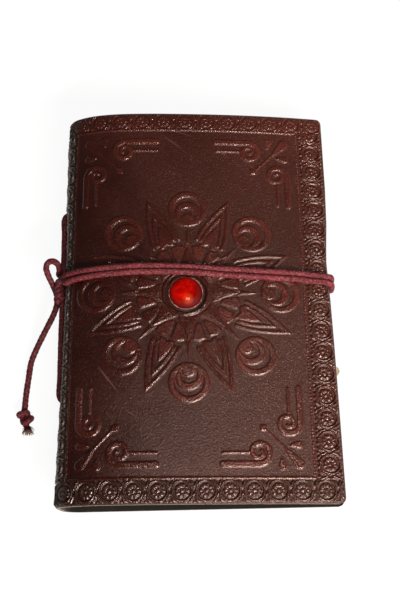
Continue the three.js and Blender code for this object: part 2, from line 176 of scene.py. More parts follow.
class Look:
    """A procedural material under construction."""

    def __init__(self, name):
        self.material = bpy.data.materials.new(name)
        self.material.use_nodes = True
        self.tree = self.material.node_tree
        self.shader = self.tree.nodes["Principled BSDF"]

    def put(self, socket, value):
        """A constant for a socket, or a link to it from another node."""
        if isinstance(value, (int, float, tuple)):
            socket.default_value = value
        else:
            self.tree.links.new(value, socket)

    def node(self, kind, settings=(), **inputs):
        made = self.tree.nodes.new(kind)
        for key, value in dict(settings).items():
            setattr(made, key, value)
        for key, value in inputs.items():
            self.put(made.inputs[key.replace("_", " ")], value)
        return made

    def attribute(self, name):
        return self.node("ShaderNodeAttribute", {"attribute_name": name})

    def place(self):
        """Where each point of the piece is at rest, also while the piece bends."""
        return self.attribute("rest_place").outputs["Vector"]

    def fact(self, name):
        return self.attribute(name).outputs["Fac"]

    def axis(self, place, letter):
        return self.node("ShaderNodeSeparateXYZ", Vector=place).outputs[letter]

    def vector(self, operation, place, other):
        made = self.node("ShaderNodeVectorMath", {"operation": operation}, Vector=place)
        made.inputs[1].default_value = other
        return made

    def stretch(self, place, factors):
        return self.vector("MULTIPLY", place, factors).outputs["Vector"]

    def distance(self, place, spot):
        return self.vector("DISTANCE", place, spot).outputs["Value"]

    def noise(self, place, scale, detail=3.0, roughness=0.55):
        made = self.node("ShaderNodeTexNoise", Vector=place, Scale=scale, Detail=detail, Roughness=roughness)
        return made.outputs["Fac"]

    def cells(self, place, scale):
        return self.node("ShaderNodeTexVoronoi", Vector=place, Scale=scale).outputs["Distance"]

    def span(self, value, low, high, to_low=0.0, to_high=1.0):
        """The value mapped from one range to another, and held at its ends."""
        made = self.node("ShaderNodeMapRange", Value=value, From_Min=low, From_Max=high,
                         To_Min=to_low, To_Max=to_high)
        return made.outputs["Result"]

    def math(self, operation, a, b):
        made = self.node("ShaderNodeMath", {"operation": operation})
        self.put(made.inputs[0], a)
        self.put(made.inputs[1], b)
        return made.outputs["Value"]

    def times(self, a, b):
        return self.math("MULTIPLY", a, b)

    def plus(self, a, b):
        return self.math("ADD", a, b)

    def mix(self, share, a, b):
        made = self.node("ShaderNodeMix", {"data_type": "RGBA"})
        for name, value in (("Factor", share), ("A", a), ("B", b)):
            self.put(next(s for s in made.inputs if s.name == name and s.enabled), value)
        return next(s for s in made.outputs if s.enabled)

    def bump(self, height, distance, strength=1.0, below=None):
        made = self.node("ShaderNodeBump", Height=height, Strength=strength, Distance=distance)
        if below is not None:
            self.put(made.inputs["Normal"], below)
        return made.outputs["Normal"]

    def finish(self, color, roughness, normal=None, **constants):
        inputs = {"Base_Color": color, "Roughness": roughness, "Normal": normal, **constants}
        for key, value in inputs.items():
            if value is not None:
                self.put(self.shader.inputs[key.replace("_", " ")], value)
        return self.material


def tone(text):
    """Linear colour from a hex sRGB value."""
    parts = [int(text[i:i + 2], 16) / 255 for i in (0, 2, 4)]
    return tuple(c / 12.92 if c < 0.04045 else ((c + 0.055) / 1.055) ** 2.4 for c in parts) + (1.0,)


# Mesh helpers


def make_piece(name, vertices, faces, materials, kinds=None, facts=None):
    """A mesh object from points in book millimetres, with smooth faces."""
    mesh = bpy.data.meshes.new(name)
    placed = metres(vertices)
    mesh.from_pydata(placed.tolist(), [], [list(map(int, f)) for f in faces])
    mesh.polygons.foreach_set("use_smooth", np.ones(len(mesh.polygons), bool))
    for material in materials:
        mesh.materials.append(material)
    if kinds is not None:
        mesh.polygons.foreach_set("material_index", np.array(kinds, np.int32))
    rest = mesh.attributes.new("rest_place", "FLOAT_VECTOR", "POINT")
    rest.data.foreach_set("vector", placed.astype(np.float32).ravel())
    for key, values in (facts or {}).items():
        held = mesh.attributes.new(key, "FLOAT", "POINT")
        held.data.foreach_set("value", np.asarray(values, np.float32))
    mesh.validate()
    mesh.update()
    piece = bpy.data.objects.new(name, mesh)
    bpy.context.scene.collection.objects.link(piece)
    return piece


def dress(piece, node, body):
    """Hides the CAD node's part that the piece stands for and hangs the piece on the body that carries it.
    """
    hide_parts(node)
    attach(piece, body)


# The orders in which a quad's corners can run.
FORWARD = [0, 1, 2, 3]
BACKWARD = [0, 3, 2, 1]
REVERSED = [3, 2, 1, 0]


def grid_faces(rows, columns, start=0, order=FORWARD, closed=False):
    """Quads between the rows of a grid of points, whose rows can be closed rings."""
    i = np.arange(rows - 1)[:, None] * columns
    j = np.arange(columns if closed else columns - 1)[None, :]
    k = (j + 1) % columns
    quads = np.stack([i + j, i + k, i + columns + k, i + columns + j], -1).reshape(-1, 4)
    return (start + quads)[:, order]


def along_path(points):
    """How far along the path each of its points is."""
    return np.concatenate([[0], np.cumsum(np.linalg.norm(np.diff(points, axis=0), axis=1))])


def unit(vector):
    return np.array(vector, float) / np.linalg.norm(vector)


def smoothstep(low, high, value):
    t = np.clip((value - low) / (high - low), 0, 1)
    return t * t * (3 - 2 * t)


def lumps(x, y, size, seed):
    """Smooth value noise from -1 to 1, the same on each run."""
    rng = np.random.default_rng(seed)
    table = rng.uniform(-1, 1, (257, 257))
    u = np.asarray(x, float) / size + 40
    v = np.asarray(y, float) / size + 40
    i = np.floor(u).astype(int)
    j = np.floor(v).astype(int)
    fu = smoothstep(0, 1, u - i)
    fv = smoothstep(0, 1, v - j)
    i %= 256
    j %= 256
    low = table[i, j] * (1 - fu) + table[i + 1, j] * fu
    high = table[i, j + 1] * (1 - fu) + table[i + 1, j + 1] * fu
    return low * (1 - fv) + high * fv


def between(a, b, start, end, t):
    return (end - t) / (end - start) * a + (t - start) / (end - start) * b


def catmull(places, step):
    """Points a step apart on a centripetal spline through the places."""
    p = np.array(places, float)
    p = np.vstack([2 * p[0] - p[1], p, 2 * p[-1] - p[-2]])
    knots = np.concatenate([[0], np.cumsum(np.sqrt(np.linalg.norm(np.diff(p, axis=0), axis=1)))])
    fine = []
    for k in range(1, len(p) - 2):
        t0, t1, t2, t3 = knots[k - 1:k + 3]
        for t in np.linspace(t1, t2, 24, endpoint=False):
            a1 = between(p[k - 1], p[k], t0, t1, t)
            a2 = between(p[k], p[k + 1], t1, t2, t)
            a3 = between(p[k + 1], p[k + 2], t2, t3, t)
            b1 = between(a1, a2, t0, t2, t)
            b2 = between(a2, a3, t1, t3, t)
            fine.append(between(b1, b2, t1, t2, t))
    fine.append(p[-2])
    fine = np.array(fine)
    along = along_path(fine)
    count = max(4, int(round(along[-1] / step)))
    at = np.linspace(0, along[-1], count + 1)
    return np.stack([np.interp(at, along, fine[:, i]) for i in range(3)], axis=1)


# Cords

BRAID_SIDES = 18
BRAID_STEP = 0.28
BRAID_STRANDS = 3
BRAID_LAY = 5.4
BRAID_DEPTH = 0.04
TUFT = 0.42


def cord_look():
    look = Look("waxed_cord")
    place = look.place()
    wide = look.span(look.noise(place, 260, 2), 0.35, 0.65)
    fine = look.span(look.noise(place, 1900, 3, 0.7), 0.46, 0.66)
    body = look.mix(wide, tone("6e1920"), tone("8e2b32"))
    # Pale fibre flecks, which also stand in as painted glints on the braid.
    flecks_and_glints = look.mix(look.times(fine, 0.8), body, tone("c87a7c"))
    # Painted shade: the cord is darker toward and beyond the spine, on the side turned from the light.
    shade_and_soiling = look.span(look.axis(place, "X"), -0.052, -0.012, 0.36, 0.0)
    darker = look.mix(shade_and_soiling, flecks_and_glints, tone("38070f"))
    # Painted shade in the braid's grooves, mixed with random darker tufts.
    color = look.mix(look.span(look.fact("groove"), 0.15, 0.8, 0.0, 0.7), darker, tone("3a0a10"))
    normal = look.bump(look.noise(place, 4200, 4, 0.7), 0.00012, 0.8)
    return look.finish(color, 0.6, normal, Specular_IOR_Level=0.25)


CORD_LOOK = cord_look()


def sides_along(way):
    """A direction square to the path at each of its points, without twist."""
    side = np.array([0, 0, 1.0]) if abs(way[0, 2]) <= 0.9 else np.array([0, 1.0, 0])
    sides = np.zeros_like(way)
    for i, forward in enumerate(way):
        side = unit(side - forward * np.dot(side, forward))
        sides[i] = side
    return sides


def braided(name, node, places, step=BRAID_STEP):
    """A braided round cord through the places, which stands for a node of the CAD part."""
    path = catmull(places, step)
    n = len(path)
    way = np.gradient(path, axis=0)
    way /= np.linalg.norm(way, axis=1)[:, None]
    sides = sides_along(way)
    ups = np.cross(way, sides)
    along = along_path(path)[:, None]
    turn = np.linspace(0, 2 * np.pi, BRAID_SIDES, endpoint=False)[None, :]
    phase = 2 * np.pi * along / BRAID_LAY
    weave = np.maximum(np.cos(BRAID_STRANDS * (turn - phase)), np.cos(BRAID_STRANDS * (turn + phase)))
    uneven = 0.02 * np.sin(along * 0.9) + 0.012 * np.sin(along * 2.3 + 1)
    reach = CORD_RADIUS * (1 - BRAID_DEPTH + BRAID_DEPTH * weave + uneven)
    out = np.cos(turn)[..., None] * sides[:, None, :] + np.sin(turn)[..., None] * ups[:, None, :]
    vertices = (path[:, None, :] + reach[..., None] * out).reshape(-1, 3)
    faces = grid_faces(n, BRAID_SIDES, closed=True).tolist()
    faces.append(list(range(BRAID_SIDES))[::-1])
    faces.append([(n - 1) * BRAID_SIDES + m for m in range(BRAID_SIDES)])
    # The groove fact: painted shade between the braid's strands plus random darker tufts.
    tufts = lumps(turn * 1.3 + along * 0.4, along + 0 * turn, TUFT, 41)
    groove = np.clip(0.36 - 0.18 * weave + 0.75 * tufts, 0, 1).ravel()
    piece = make_piece(name, vertices, faces, [CORD_LOOK], facts={"groove": groove})
    dress(piece, node, "text_block")
    return piece


STRAND_X = SPINE - CORD_RADIUS - 0.1
HITCH_RADIUS = 1.55
HITCH_PITCH = 2.1
HITCH_TILT = 0.9
HITCH_X = SPINE - 1.45
HITCH_END_Y = HITCH_Y - HITCH_TURNS * HITCH_PITCH
BEND_REACH = SPINE_RADIUS + CORD_RADIUS - 0.45
STRAND_BEND = 1.6
STRAND_Y = [-HOLE_Y, -11, 10, 25, HOLE_Y]
STRAND_DRAWN = [1.05, 0.65, 0.62, 0.36, 0.1]


def strand_path():
    """Straight between its two holes but for the hitch, which draws it in."""
    bend = HOLE_Y - STRAND_BEND
    run = [[STRAND_X + np.interp(y, STRAND_Y, STRAND_DRAWN), y, STRAND_Z]
           for y in np.linspace(-bend, bend, 13)]
    ends = []
    for y in (-HOLE_Y, HOLE_Y):
        mouth = SPINE + spine_waist(y)
        ends.append([[mouth + LEATHER, y, STRAND_Z], [mouth, y, STRAND_Z]])
    return ends[0] + run + ends[1][::-1]


HITCH_AWAY = (HITCH_X - BEND, STRAND_Z - UPPER_BEND_Z)
HITCH_START = math.atan2(HITCH_AWAY[1], HITCH_AWAY[0]) % (2 * math.pi) - math.acos(
    (BEND_REACH - HITCH_RADIUS) / math.hypot(*HITCH_AWAY))


def around(x, z, radius, turn, y):
    return np.array([x + radius * math.cos(turn), y, z + radius * math.sin(turn)])


def hitch_point(n):
    turn = HITCH_START + 2 * math.pi * n
    y = HITCH_Y - n * HITCH_PITCH + HITCH_TILT * (math.cos(turn) - math.cos(HITCH_START))
    return around(HITCH_X, STRAND_Z, HITCH_RADIUS, turn, y)


HITCH_FIRST = hitch_point(0)
HITCH_WAY = unit(hitch_point(0.01) - HITCH_FIRST)


def hitch_path():
    coil = [hitch_point(n) for n in np.linspace(0, HITCH_TURNS, HITCH_TURNS * 24 + 1)]
    return [HITCH_FIRST - HITCH_WAY * CORD] + coil


CLEAR_X = HITCH_X - 1.3
TIE_END = np.array([CLEAR_X + 0.5, TIE_Y, STRAND_Z - 1.7])
TIE_WAY = unit([-0.1, 0, 1.0])
RING_HEIGHT = 0.9
RING_INNER = 5.5
RING_OUTER = 14.0
DRAWN_OVER_SPINE = 0.6
DRAWN_TOGETHER = 0.16
FRONT_PLACES = 24
OVER_COVER = CORD_RADIUS + 0.08
BESIDE_EDGE = CORD_RADIUS + 0.12
OFF_COVER = CORD_GAP + CORD / 2


def lower_bend(turn, y, inset):
    radius = SPINE_RADIUS - inset - PRESSED_DEPTH * pressed(BEND, y) * math.sin(turn) ** 2
    return BEND - radius * math.cos(turn), SPINE_RADIUS - radius * math.sin(turn)


def over_spine(lane):
    """The winding over the upper bend of the spine, drawn tight toward the hitch."""
    first = HITCH_START - 0.25 if lane < 0 else math.pi * 0.8
    for turn in np.linspace(first, math.pi - CROWN_TURN, 3):
        drawn_in = DRAWN_OVER_SPINE * smoothstep(math.pi - CROWN_TURN, math.pi * 0.85, turn)
        reach = SPINE_RADIUS + OVER_COVER - drawn_in
        y = pair_y(BEND + reach * math.cos(turn)) + lane * PAIR_HALF
        yield around(BEND, UPPER_BEND_Z, reach, turn, y)


def over_front(lane):
    """Across the front cover, side by side with the other turn and over the stone's ring."""
    for x in np.linspace(CROWN_X + 2, FORE_EDGE - 2.4, FRONT_PLACES):
        on_ring = 1 - smoothstep(RING_INNER, RING_OUTER, abs(x - STONE_X))
        over_ring = RING_HEIGHT * (0.9 if lane < 0 else 0.35) * on_ring
        half = PAIR_HALF - DRAWN_TOGETHER * smoothstep(-46.0, -34.0, x)
        z = front_height(x) + OVER_COVER * math.hypot(1, front_slope(x)) + over_ring
        yield [x, pair_y(x) + lane * half, z]


def round_fore_edge(lane):
    drop_y = pair_y(FORE_EDGE) + lane * PAIR_HALF
    fore_y = UNDER_FORE_Y + lane * PAIR_HALF
    edge = FORE_EDGE - 1.5
    for share in (0.15, 0.55, 1):
        turn = share * math.pi / 2
        z = FORE_EDGE_THICKNESS + OFF_COVER * math.cos(turn) - 0.4 * share
        yield [edge + BESIDE_EDGE * math.sin(turn), drop_y, z]
    yield [edge + BESIDE_EDGE + 0.3, (drop_y + fore_y) / 2, PRESSED_DEPTH + LEATHER / 2]
    for share in (0.5, 1):
        turn = share * math.pi / 2
        z = PRESSED_DEPTH + CORD_GAP - OFF_COVER * math.sin(turn)
        yield [FORE_EDGE - 0.9 + OFF_COVER * math.cos(turn), fore_y, z]


def under_back(lane, back_y):
    """Along the pressed groove under the back cover and up the lower bend."""
    fore_y = UNDER_FORE_Y + lane * PAIR_HALF
    for x in np.linspace(FORE_EDGE - 1, BEND, 4)[1:]:
        u = (FORE_EDGE - x) / (FORE_EDGE - BEND)
        yield [x, fore_y + (back_y - fore_y) * u, CORD / 2]
    for turn in np.linspace(math.pi / 2, 0, 5)[1:]:
        x, z = lower_bend(turn, back_y, -OFF_COVER)
        yield [x, back_y, z]


def winding_path():
    """Two turns round the book, from the hitch to the tie at its side."""
    meet = HITCH_FIRST - HITCH_WAY * (CORD + CORD_GAP)
    points = [meet, meet - HITCH_WAY * CORD]
    for lane, back_y in ((-1, pair_y(SPINE) + PAIR_HALF), (1, TIE_Y)):
        points += [*over_spine(lane), *over_front(lane), *round_fore_edge(lane), *under_back(lane, back_y)]
        if lane < 0:
            points += [[CLEAR_X + out, back_y, STRAND_Z + rise]
                       for out, rise in ((0.6, -CORD), (0, 0), (0.6, CORD))]
    return points + [TIE_END - TIE_WAY * CORD, TIE_END]


TAIL_PLACES = [
    TIE_END + TIE_WAY * 0.05, TIE_END + TIE_WAY * CORD,
    [-52.8, 12.9, 14.7], [-53.2, 14.9, 15.9], [-55.2, 16.3, 16.1], [-57.2, 16.0, 15.6], [-58.0, 14.2, 15.0],
    [-57.3, 11.4, 14.0], [-56.2, 8.9, 12.2], [-55.1, 6.0, 9.4], [-54.6, 3.0, 8.4], [-54.9, 0.4, 8.4],
    [-56.2, -3.2, 8.0], [-58.3, -6.6, 6.6], [-60.8, -10.4, 4.6], [-63.4, -14.8, 2.7],
    [-65.4, -19.4, 1.5], [-66.2, -26.0, 1.3], [-66.8, -33.0, 1.4], [-66.8, -37.8, 2.0],
]
KNOT_WAY = unit([0.1, -1, 0])
KNOT_SIDE = np.array([-KNOT_WAY[1], KNOT_WAY[0], 0])
KNOT_LENGTH = 6.2
KNOT_WIDTH = 1.05
KNOT_STEP = 0.22
KNOT_CENTRE = np.array(TAIL_PLACES[-1]) + KNOT_WAY * (CORD_GAP + KNOT_LENGTH / 2)
UP = np.array([0, 0, 1.0])


def from_knot(along, across, up):
    return KNOT_CENTRE + KNOT_WAY * along + KNOT_SIDE * across + UP * up


def knot_path():
    """The cord loops once round itself and its own end, then leaves with it."""
    places = [
        (-3.4, 0.0, 0.0), (-2.4, 0.35, -0.25), (-0.8, 0.8, -0.35), (0.9, 0.95, -0.3), (2.0, 0.5, 0.35),
        (2.0, -0.7, 1.05), (1.2, -1.9, 0.9), (0.6, -2.15, -0.1), (0.2, -1.5, -1.05), (-0.4, 0.0, -1.25),
        (-0.9, 1.5, -0.95), (-1.2, 2.1, 0.0), (-1.3, 1.45, 0.95), (-1.5, 0.2, 1.2), (-1.6, -0.8, 0.85),
        (-1.0, -1.0, 0.2), (0.4, -0.8, -0.1), (1.8, -0.45, -0.35), (3.0, -0.1, -0.3), (3.5, 0, -0.2),
    ]
    return [from_knot(u, -KNOT_WIDTH * v, w) for u, v, w in places]


tail_tie = braided("tail_tie", "tail_cord", TAIL_PLACES)
braided("strand_cord", "spine_strand", strand_path())
braided("hitch_coil", "hitch", hitch_path())
winding = braided("winding_cord", "wrap_cord", winding_path())
knot = braided("knot_loop", "end_knot", knot_path(), KNOT_STEP)


def fray_look():
    look = Look("frayed_ends")
    blotch = look.span(look.noise(look.place(), 900, 2), 0.4, 0.6)
    dry = look.span(look.fact("tip"), 0.45, 0.95)
    share = look.times(dry, look.plus(0.55, look.times(blotch, 0.45)))
    color = look.mix(share, tone("4a1018"), tone("d2ad98"))
    return look.finish(color, 0.85, Specular_IOR_Level=0.2)


FIBRES = 64
FIBRE_SIDES = 5
FIBRE_STEPS = 9
FIBRE_MOST = 4.0
FRAY_ROOT = 2.9
FRAY_LEAN = 0.8


def fray():
    """Loose fibres of the cord's cut end, which fan out beyond the knot."""
    rng = np.random.default_rng(7)
    vertices, faces, tips = [], [], []
    for _ in range(FIBRES):
        spin = rng.uniform(0, 2 * np.pi)
        root = 0.75 * math.sqrt(rng.uniform(0, 1))
        length = rng.uniform(1.4, FIBRE_MOST)
        fan = rng.uniform(0.2, 2.1)
        curl = rng.uniform(-0.5, 0.5, 2)
        thickness = rng.uniform(0.13, 0.26)
        base = len(vertices)
        for t in np.linspace(0, 1, FIBRE_STEPS + 1):
            out = root + fan * t ** 1.4
            v = out * math.cos(spin) + curl[0] * t * t + FRAY_LEAN * (0.4 + t)
            w = max(out * math.sin(spin) * 0.75 + curl[1] * t * t - 0.25, 0.25 - KNOT_CENTRE[2])
            centre = from_knot(FRAY_ROOT + length * t, v, w)
            radius = thickness * (1 - 0.3 * t)
            for turn in np.linspace(0, 2 * np.pi, FIBRE_SIDES, endpoint=False):
                vertices.append(centre + radius * (KNOT_SIDE * math.cos(turn) + UP * math.sin(turn)))
                tips.append(t * length / FIBRE_MOST)
        faces += grid_faces(FIBRE_STEPS + 1, FIBRE_SIDES, base, closed=True).tolist()
        faces.append([base + FIBRE_STEPS * FIBRE_SIDES + m for m in range(FIBRE_SIDES)])
    return make_piece("fray_fibres", vertices, faces, [fray_look()], facts={"tip": tips})


fibres = fray()
dress(fibres, "frayed_tip", "text_block")

tail_points = catmull(TAIL_PLACES, BRAID_STEP)
tuple(metres(tail_points[:1])[0])
metres(tail_points[::3]).tolist()


# Embossing


def to_segment(x, y, ax, ay, bx, by):
    """Distance from a segment, and how far along it from 0 to 1."""
    dx, dy = bx - ax, by - ay
    t = np.clip(((x - ax) * dx + (y - ay) * dy) / (dx * dx + dy * dy), 0, 1)
    return np.hypot(x - ax - t * dx, y - ay - t * dy), t


def highest(*values):
    return functools.reduce(np.maximum, values)


def lowest(*values):
    return functools.reduce(np.minimum, values)


def ridge(distance, half=0.34, soft=0.26):
    """A raised line with straight sides, 1 along its middle."""
    return 1 - np.clip((np.abs(distance) - half + soft) / (2 * soft), 0, 1)


def raised(inside, soft=0.27):
    """1 where inside, a signed distance, is positive, with a straight slope at its edge."""
    return np.clip(0.5 + inside / (2 * soft), 0, 1)


MANDALA_X = -2.95
MANDALA_Y = 0.05
SECTOR = math.pi / 4
LINE_HEIGHT = 0.4
FIELD_HEIGHT = 0.4
BAND_HEIGHT = 0.72
SCRATCH_DEPTH = 0.09


def folded(angle, sector):
    return (angle + sector / 2) % sector - sector / 2


def about_mandala(x, y, turned_by=0.0):
    """Distance and angle from the mandala's centre, and the place within one of its eight sectors."""
    px, py = x - MANDALA_X, y - MANDALA_Y
    r = np.hypot(px, py)
    angle = np.arctan2(py, px)
    a = folded(angle - turned_by, SECTOR)
    return r, angle, r * np.cos(a), r * np.sin(a)


def roundels(x, y):
    """Eight roundels of three circles that touch at the side of the mandala's centre."""
    _, _, u, v = about_mandala(x, y)

    def within(centre, radius):
        return radius - np.hypot(u - centre, v)

    crescent = np.minimum(within(34.1, 7.25), -within(33.85, 5.4))
    second = np.minimum(within(32.2, 4.7), -within(31.35, 3.15))
    return raised(highest(crescent, second, within(29.55, 2.4)))


# Tip, half width and start of the two outlined petals and of the solid one inside them.
OUTLINED_PETALS = [(40.2, 5.5, 20.6), (34.2, 3.7, 20.9)]
SOLID_PETAL = (28.4, 2.6, 19.6)


def petals(x, y):
    """Pointed petals between the roundels: two outlined ones and a solid one, one inside the other."""
    _, _, u, v = about_mandala(x, y, SECTOR / 2)

    def petal(tip, half, start):
        share = np.clip((u - start) / (tip - start), 0, 1)
        side = half * (1 - share ** 1.75) - np.abs(v)
        return np.minimum(side * 0.93, (tip - u) * 0.6)

    line = np.zeros_like(u)
    for tip, half, start in OUTLINED_PETALS:
        outline = raised(0.52 - np.abs(petal(tip, half, start) - 0.45))
        line = np.maximum(line, outline * raised(u - start, 0.4) * raised(tip + 0.3 - u))
    notch = u - SOLID_PETAL[2] - 0.9 * np.maximum(0, 1 - np.abs(v) / 1.6)
    return line, raised(np.minimum(petal(*SOLID_PETAL), notch))


STAR_TIP = 18.5
STAR_VALLEY = 9.6
SPIKE_TIP = 25.6
SPIKE_START = 13


def star(x, y):
    """An eight-pointed star round the stone, thin spikes beyond its points and blocks between them."""
    r, angle, u, v = about_mandala(x, y)
    v = np.abs(v)
    valley_u = STAR_VALLEY * math.cos(SECTOR / 2)
    valley_v = STAR_VALLEY * math.sin(SECTOR / 2)
    edge = math.hypot(STAR_TIP - valley_u, valley_v)
    inside = ((STAR_TIP - u) * valley_v - v * (STAR_TIP - valley_u)) / edge
    points = raised(np.minimum(inside, u - 9.3), 0.22)
    half = 1.9 * np.clip((SPIKE_TIP - u) / 12.6, 0, 1) ** 0.8
    beyond = raised(u - SPIKE_START, 0.3)
    roof = np.clip(1.1 - v / np.maximum(half, 0.05), 0, 1) * beyond * raised(SPIKE_TIP - u, 0.3)
    spike = roof * (1 - raised(inside + 0.45, 0.2))
    w = np.abs(folded(angle - SECTOR / 2, SECTOR))
    outer = 19.2 - 0.5 * np.abs(w - 0.17) / 0.1 - r
    block = lowest(r - 12.6, outer, (0.325 - w) * r, (w - 0.05) * r, -inside - 0.5)
    blocks = raised(block) * (1 - raised(half + 0.35 - v, 0.2) * beyond)
    octagon = ridge(u - 8.95, 0.16, 0.16)
    facet = 0.35 * np.clip(1 - v / 2.2, 0, 1)
    return highest(points * (0.75 + facet), spike, octagon * 0.4), blocks


# The corner scrolls, drawn once for the tail and fore-edge corner and mirrored to the others.
SCROLL_X = -3.1
SCROLL_Y = 0.25
SCROLL_CENTRE = (24.5, -59.2)
SCROLL_RADII = [4.1, 3.75, 3.4, 3.3, 3.2, 3.0, 2.7, 2.3, 1.8, 1.4, 1.05, 0.7]
SCROLL_START = 11.5
SCROLL_HALF = 1.02
UPRIGHT_SCROLL = (35.0, -49.1)
LEAF = (26.0, -50.6)
# Each drop's two ends and its half width at both.
DROPS = [
    (26.4, -50.9, 33.6, -58.1, 0.24, 0.3), (33.4, -57.9, 38.1, -63.2, 0.3, 1.75),
    (35.4, -56.7, 38.4, -56.5, 0.3, 1.3), (32.0, -61.4, 32.2, -64.0, 0.3, 1.3),
]
OUTSIDE = -50.0


def scroll(u, v):
    """Bar with a spiral end and the thin line above it, in the tail corner's own directions."""
    centre_x, centre_y = SCROLL_CENTRE
    bar_y = centre_y - SCROLL_RADII[0]
    places = [(SCROLL_START, bar_y, SCROLL_HALF), (centre_x - 1.2, bar_y, SCROLL_HALF)]
    for k, radius in enumerate(SCROLL_RADII):
        turn = -math.pi / 2 + k * math.pi / 4
        width = SCROLL_HALF - 0.045 * k
        places.append((centre_x + radius * math.cos(turn), centre_y + radius * math.sin(turn), width))
    fine = catmull(places, 0.8)
    inside = np.full_like(u, OUTSIDE)
    for (ax, ay, aw), (bx, by, bw) in zip(fine[:-1], fine[1:]):
        distance, t = to_segment(u, v, ax, ay, bx, by)
        inside = np.maximum(inside, aw + (bw - aw) * t - distance)
    thin, _ = to_segment(u, v, SCROLL_START, centre_y - 0.1, centre_x - 4.0, centre_y - 0.1)
    return np.maximum(inside, 0.38 - thin)


def drop(u, v, ax, ay, bx, by, start, end):
    distance, t = to_segment(u, v, ax, ay, bx, by)
    return start + (end - start) * t ** 0.8 - distance


def corners(x, y):
    """Two scrolls, four drops and a leaf in each corner."""
    u = np.abs(x - SCROLL_X)
    v = -np.abs(y - SCROLL_Y)
    near = (u > 8) & (v < -33)
    out = np.full_like(u, OUTSIDE)
    a, b = u[near], v[near]
    upright = scroll(SCROLL_CENTRE[0] - (b - UPRIGHT_SCROLL[1]), SCROLL_CENTRE[1] - (a - UPRIGHT_SCROLL[0]))
    drops = [drop(a, b, *places) for places in DROPS]
    along = (a - LEAF[0] - (b - LEAF[1])) / math.sqrt(2)
    beside = (a - LEAF[0] + (b - LEAF[1])) / math.sqrt(2)
    leaf = (1.35 - np.abs(along) * 0.8 - np.abs(beside)) * 0.75
    out[near] = highest(scroll(a, b), upright, *drops, leaf)
    return raised(out)


# The border chain: rosettes in link rings, crossing strokes between them, and beads.
LINK = 8.2
LINK_RING = 3.35
BEAD = 0.42
BEAD_OFFSET = 3.95
ROSETTE = 2.45
ROSETTE_EYE = 0.7
ROSETTE_LOBES = 10
FRAME_LEFT = -46.2
FRAME_RIGHT = 40.2
FRAME_TAIL = -67.8
FRAME_HEAD = 68.8
BAND_GAP = 0.8
FORE_BAND_X = 45.75
SPINE_BAND_X = -51.6
UPRIGHT_ROSETTE_Y = -30.2
TAIL_BAND_Y = -72.0
TAIL_ROSETTE_X = -5.7
TAIL_LINK = 8.25
HEAD_BAND_Y = 72.7
HEAD_ROSETTE_X = -3.7
HEAD_LINK = 8.45
HEAD_BAND_HEIGHT = 0.75
BAND_END = -57.5


def chain(u, v, bead_height=0.8):
    """u along the band from a rosette's centre, v across it."""
    beads = raised(BEAD - np.hypot(folded(u + LINK / 10, LINK / 5), np.abs(v) - BEAD_OFFSET), 0.2)
    u = np.abs(folded(u, LINK))
    w = np.abs(v)
    r = np.hypot(u, w)
    ring = ridge(np.hypot(u, w * 0.93) - LINK_RING, 0.27, 0.2)
    turn = np.arctan2(w, u)
    lobes = 0.5 + 0.5 * np.cos(ROSETTE_LOBES * turn)
    rosette = raised(ROSETTE - 0.25 * (1 - lobes) - r) * (0.6 + 0.4 * lobes) * smoothstep(0.5, 1.4, r)
    rosette = np.maximum(rosette, raised(ROSETTE_EYE - r, 0.3))
    stroke, _ = to_segment(u, w, 2.9, 3.7, LINK / 2, 0.9)
    second, _ = to_segment(u, w, 2.2, 3.9, 2.9, 3.3)
    strokes = np.maximum(ridge(stroke, 0.26, 0.18), ridge(second, 0.2, 0.16))
    return highest(ring, strokes, rosette * 0.75, beads * bead_height)


def inside_frame(x, y):
    return lowest(x - FRAME_LEFT, FRAME_RIGHT - x, y - FRAME_TAIL, FRAME_HEAD - y)


def border(x, y):
    """The frame line, the rosette bands outside it and where they are greyed: a darker aged tone with a
    painted grey sheen on their rings.
    """
    frame_line = ridge(inside_frame(x, y), 0.36, 0.26)
    aged = np.maximum(raised(FRAME_LEFT - 0.4 - x), 0.35 * raised(FRAME_TAIL - 0.4 - y))
    on_right = np.abs(x - FRAME_RIGHT) < 1
    dots = 0.5 + 0.5 * np.cos(2 * np.pi * np.where(on_right, y, x) / 1.15)
    upright = on_right | (np.abs(x - FRAME_LEFT) < 1)
    frame_line *= np.where(upright, 0.35 + 0.65 * dots, 1.0)
    beside = raised(y - FRAME_TAIL + 0.4) * raised(FRAME_HEAD + 0.4 - y)
    along = y - UPRIGHT_ROSETTE_Y
    fore = chain(along, x - FORE_BAND_X) * raised(x - FRAME_RIGHT - BAND_GAP) * beside
    spine = chain(along, x - SPINE_BAND_X, 0) * raised(FRAME_LEFT - BAND_GAP - x) * beside
    at_tail = chain((x - TAIL_ROSETTE_X) * LINK / TAIL_LINK, y - TAIL_BAND_Y)
    at_head = chain((x - HEAD_ROSETTE_X) * LINK / HEAD_LINK, y - HEAD_BAND_Y)
    tail = at_tail * raised(FRAME_TAIL - BAND_GAP - y)
    head = HEAD_BAND_HEIGHT * at_head * raised(y - FRAME_HEAD - BAND_GAP)
    return frame_line, highest(fore, spine, tail, head) * np.where(x < BAND_END, 0, 1), aged


# Ends and half width of each scratch.
SCRATCHES = [
    ((-11.4, 65.5), (-5.1, 60.5), 0.14), ((-8.1, 68.4), (-0.9, 66.0), 0.08),
    ((-34.0, -29.5), (-28.0, -37.5), 0.16), ((-35.2, -28.0), (-31.5, -33.4), 0.12),
    ((18.0, 57.0), (25.5, 50.0), 0.06), ((27.0, 62.0), (33.0, 55.5), 0.05),
    ((9.5, 60.5), (13.5, 56.5), 0.1), ((-25.0, -44.0), (-20.5, -47.0), 0.1),
]


def scratches(x, y):
    out = np.zeros_like(x)
    for (ax, ay), (bx, by), half in SCRATCHES:
        distance, t = to_segment(x, y, ax, ay, bx, by)
        out = np.maximum(out, ridge(distance, half, 0.12) * (0.4 + 0.6 * np.sin(np.pi * t)))
    return out


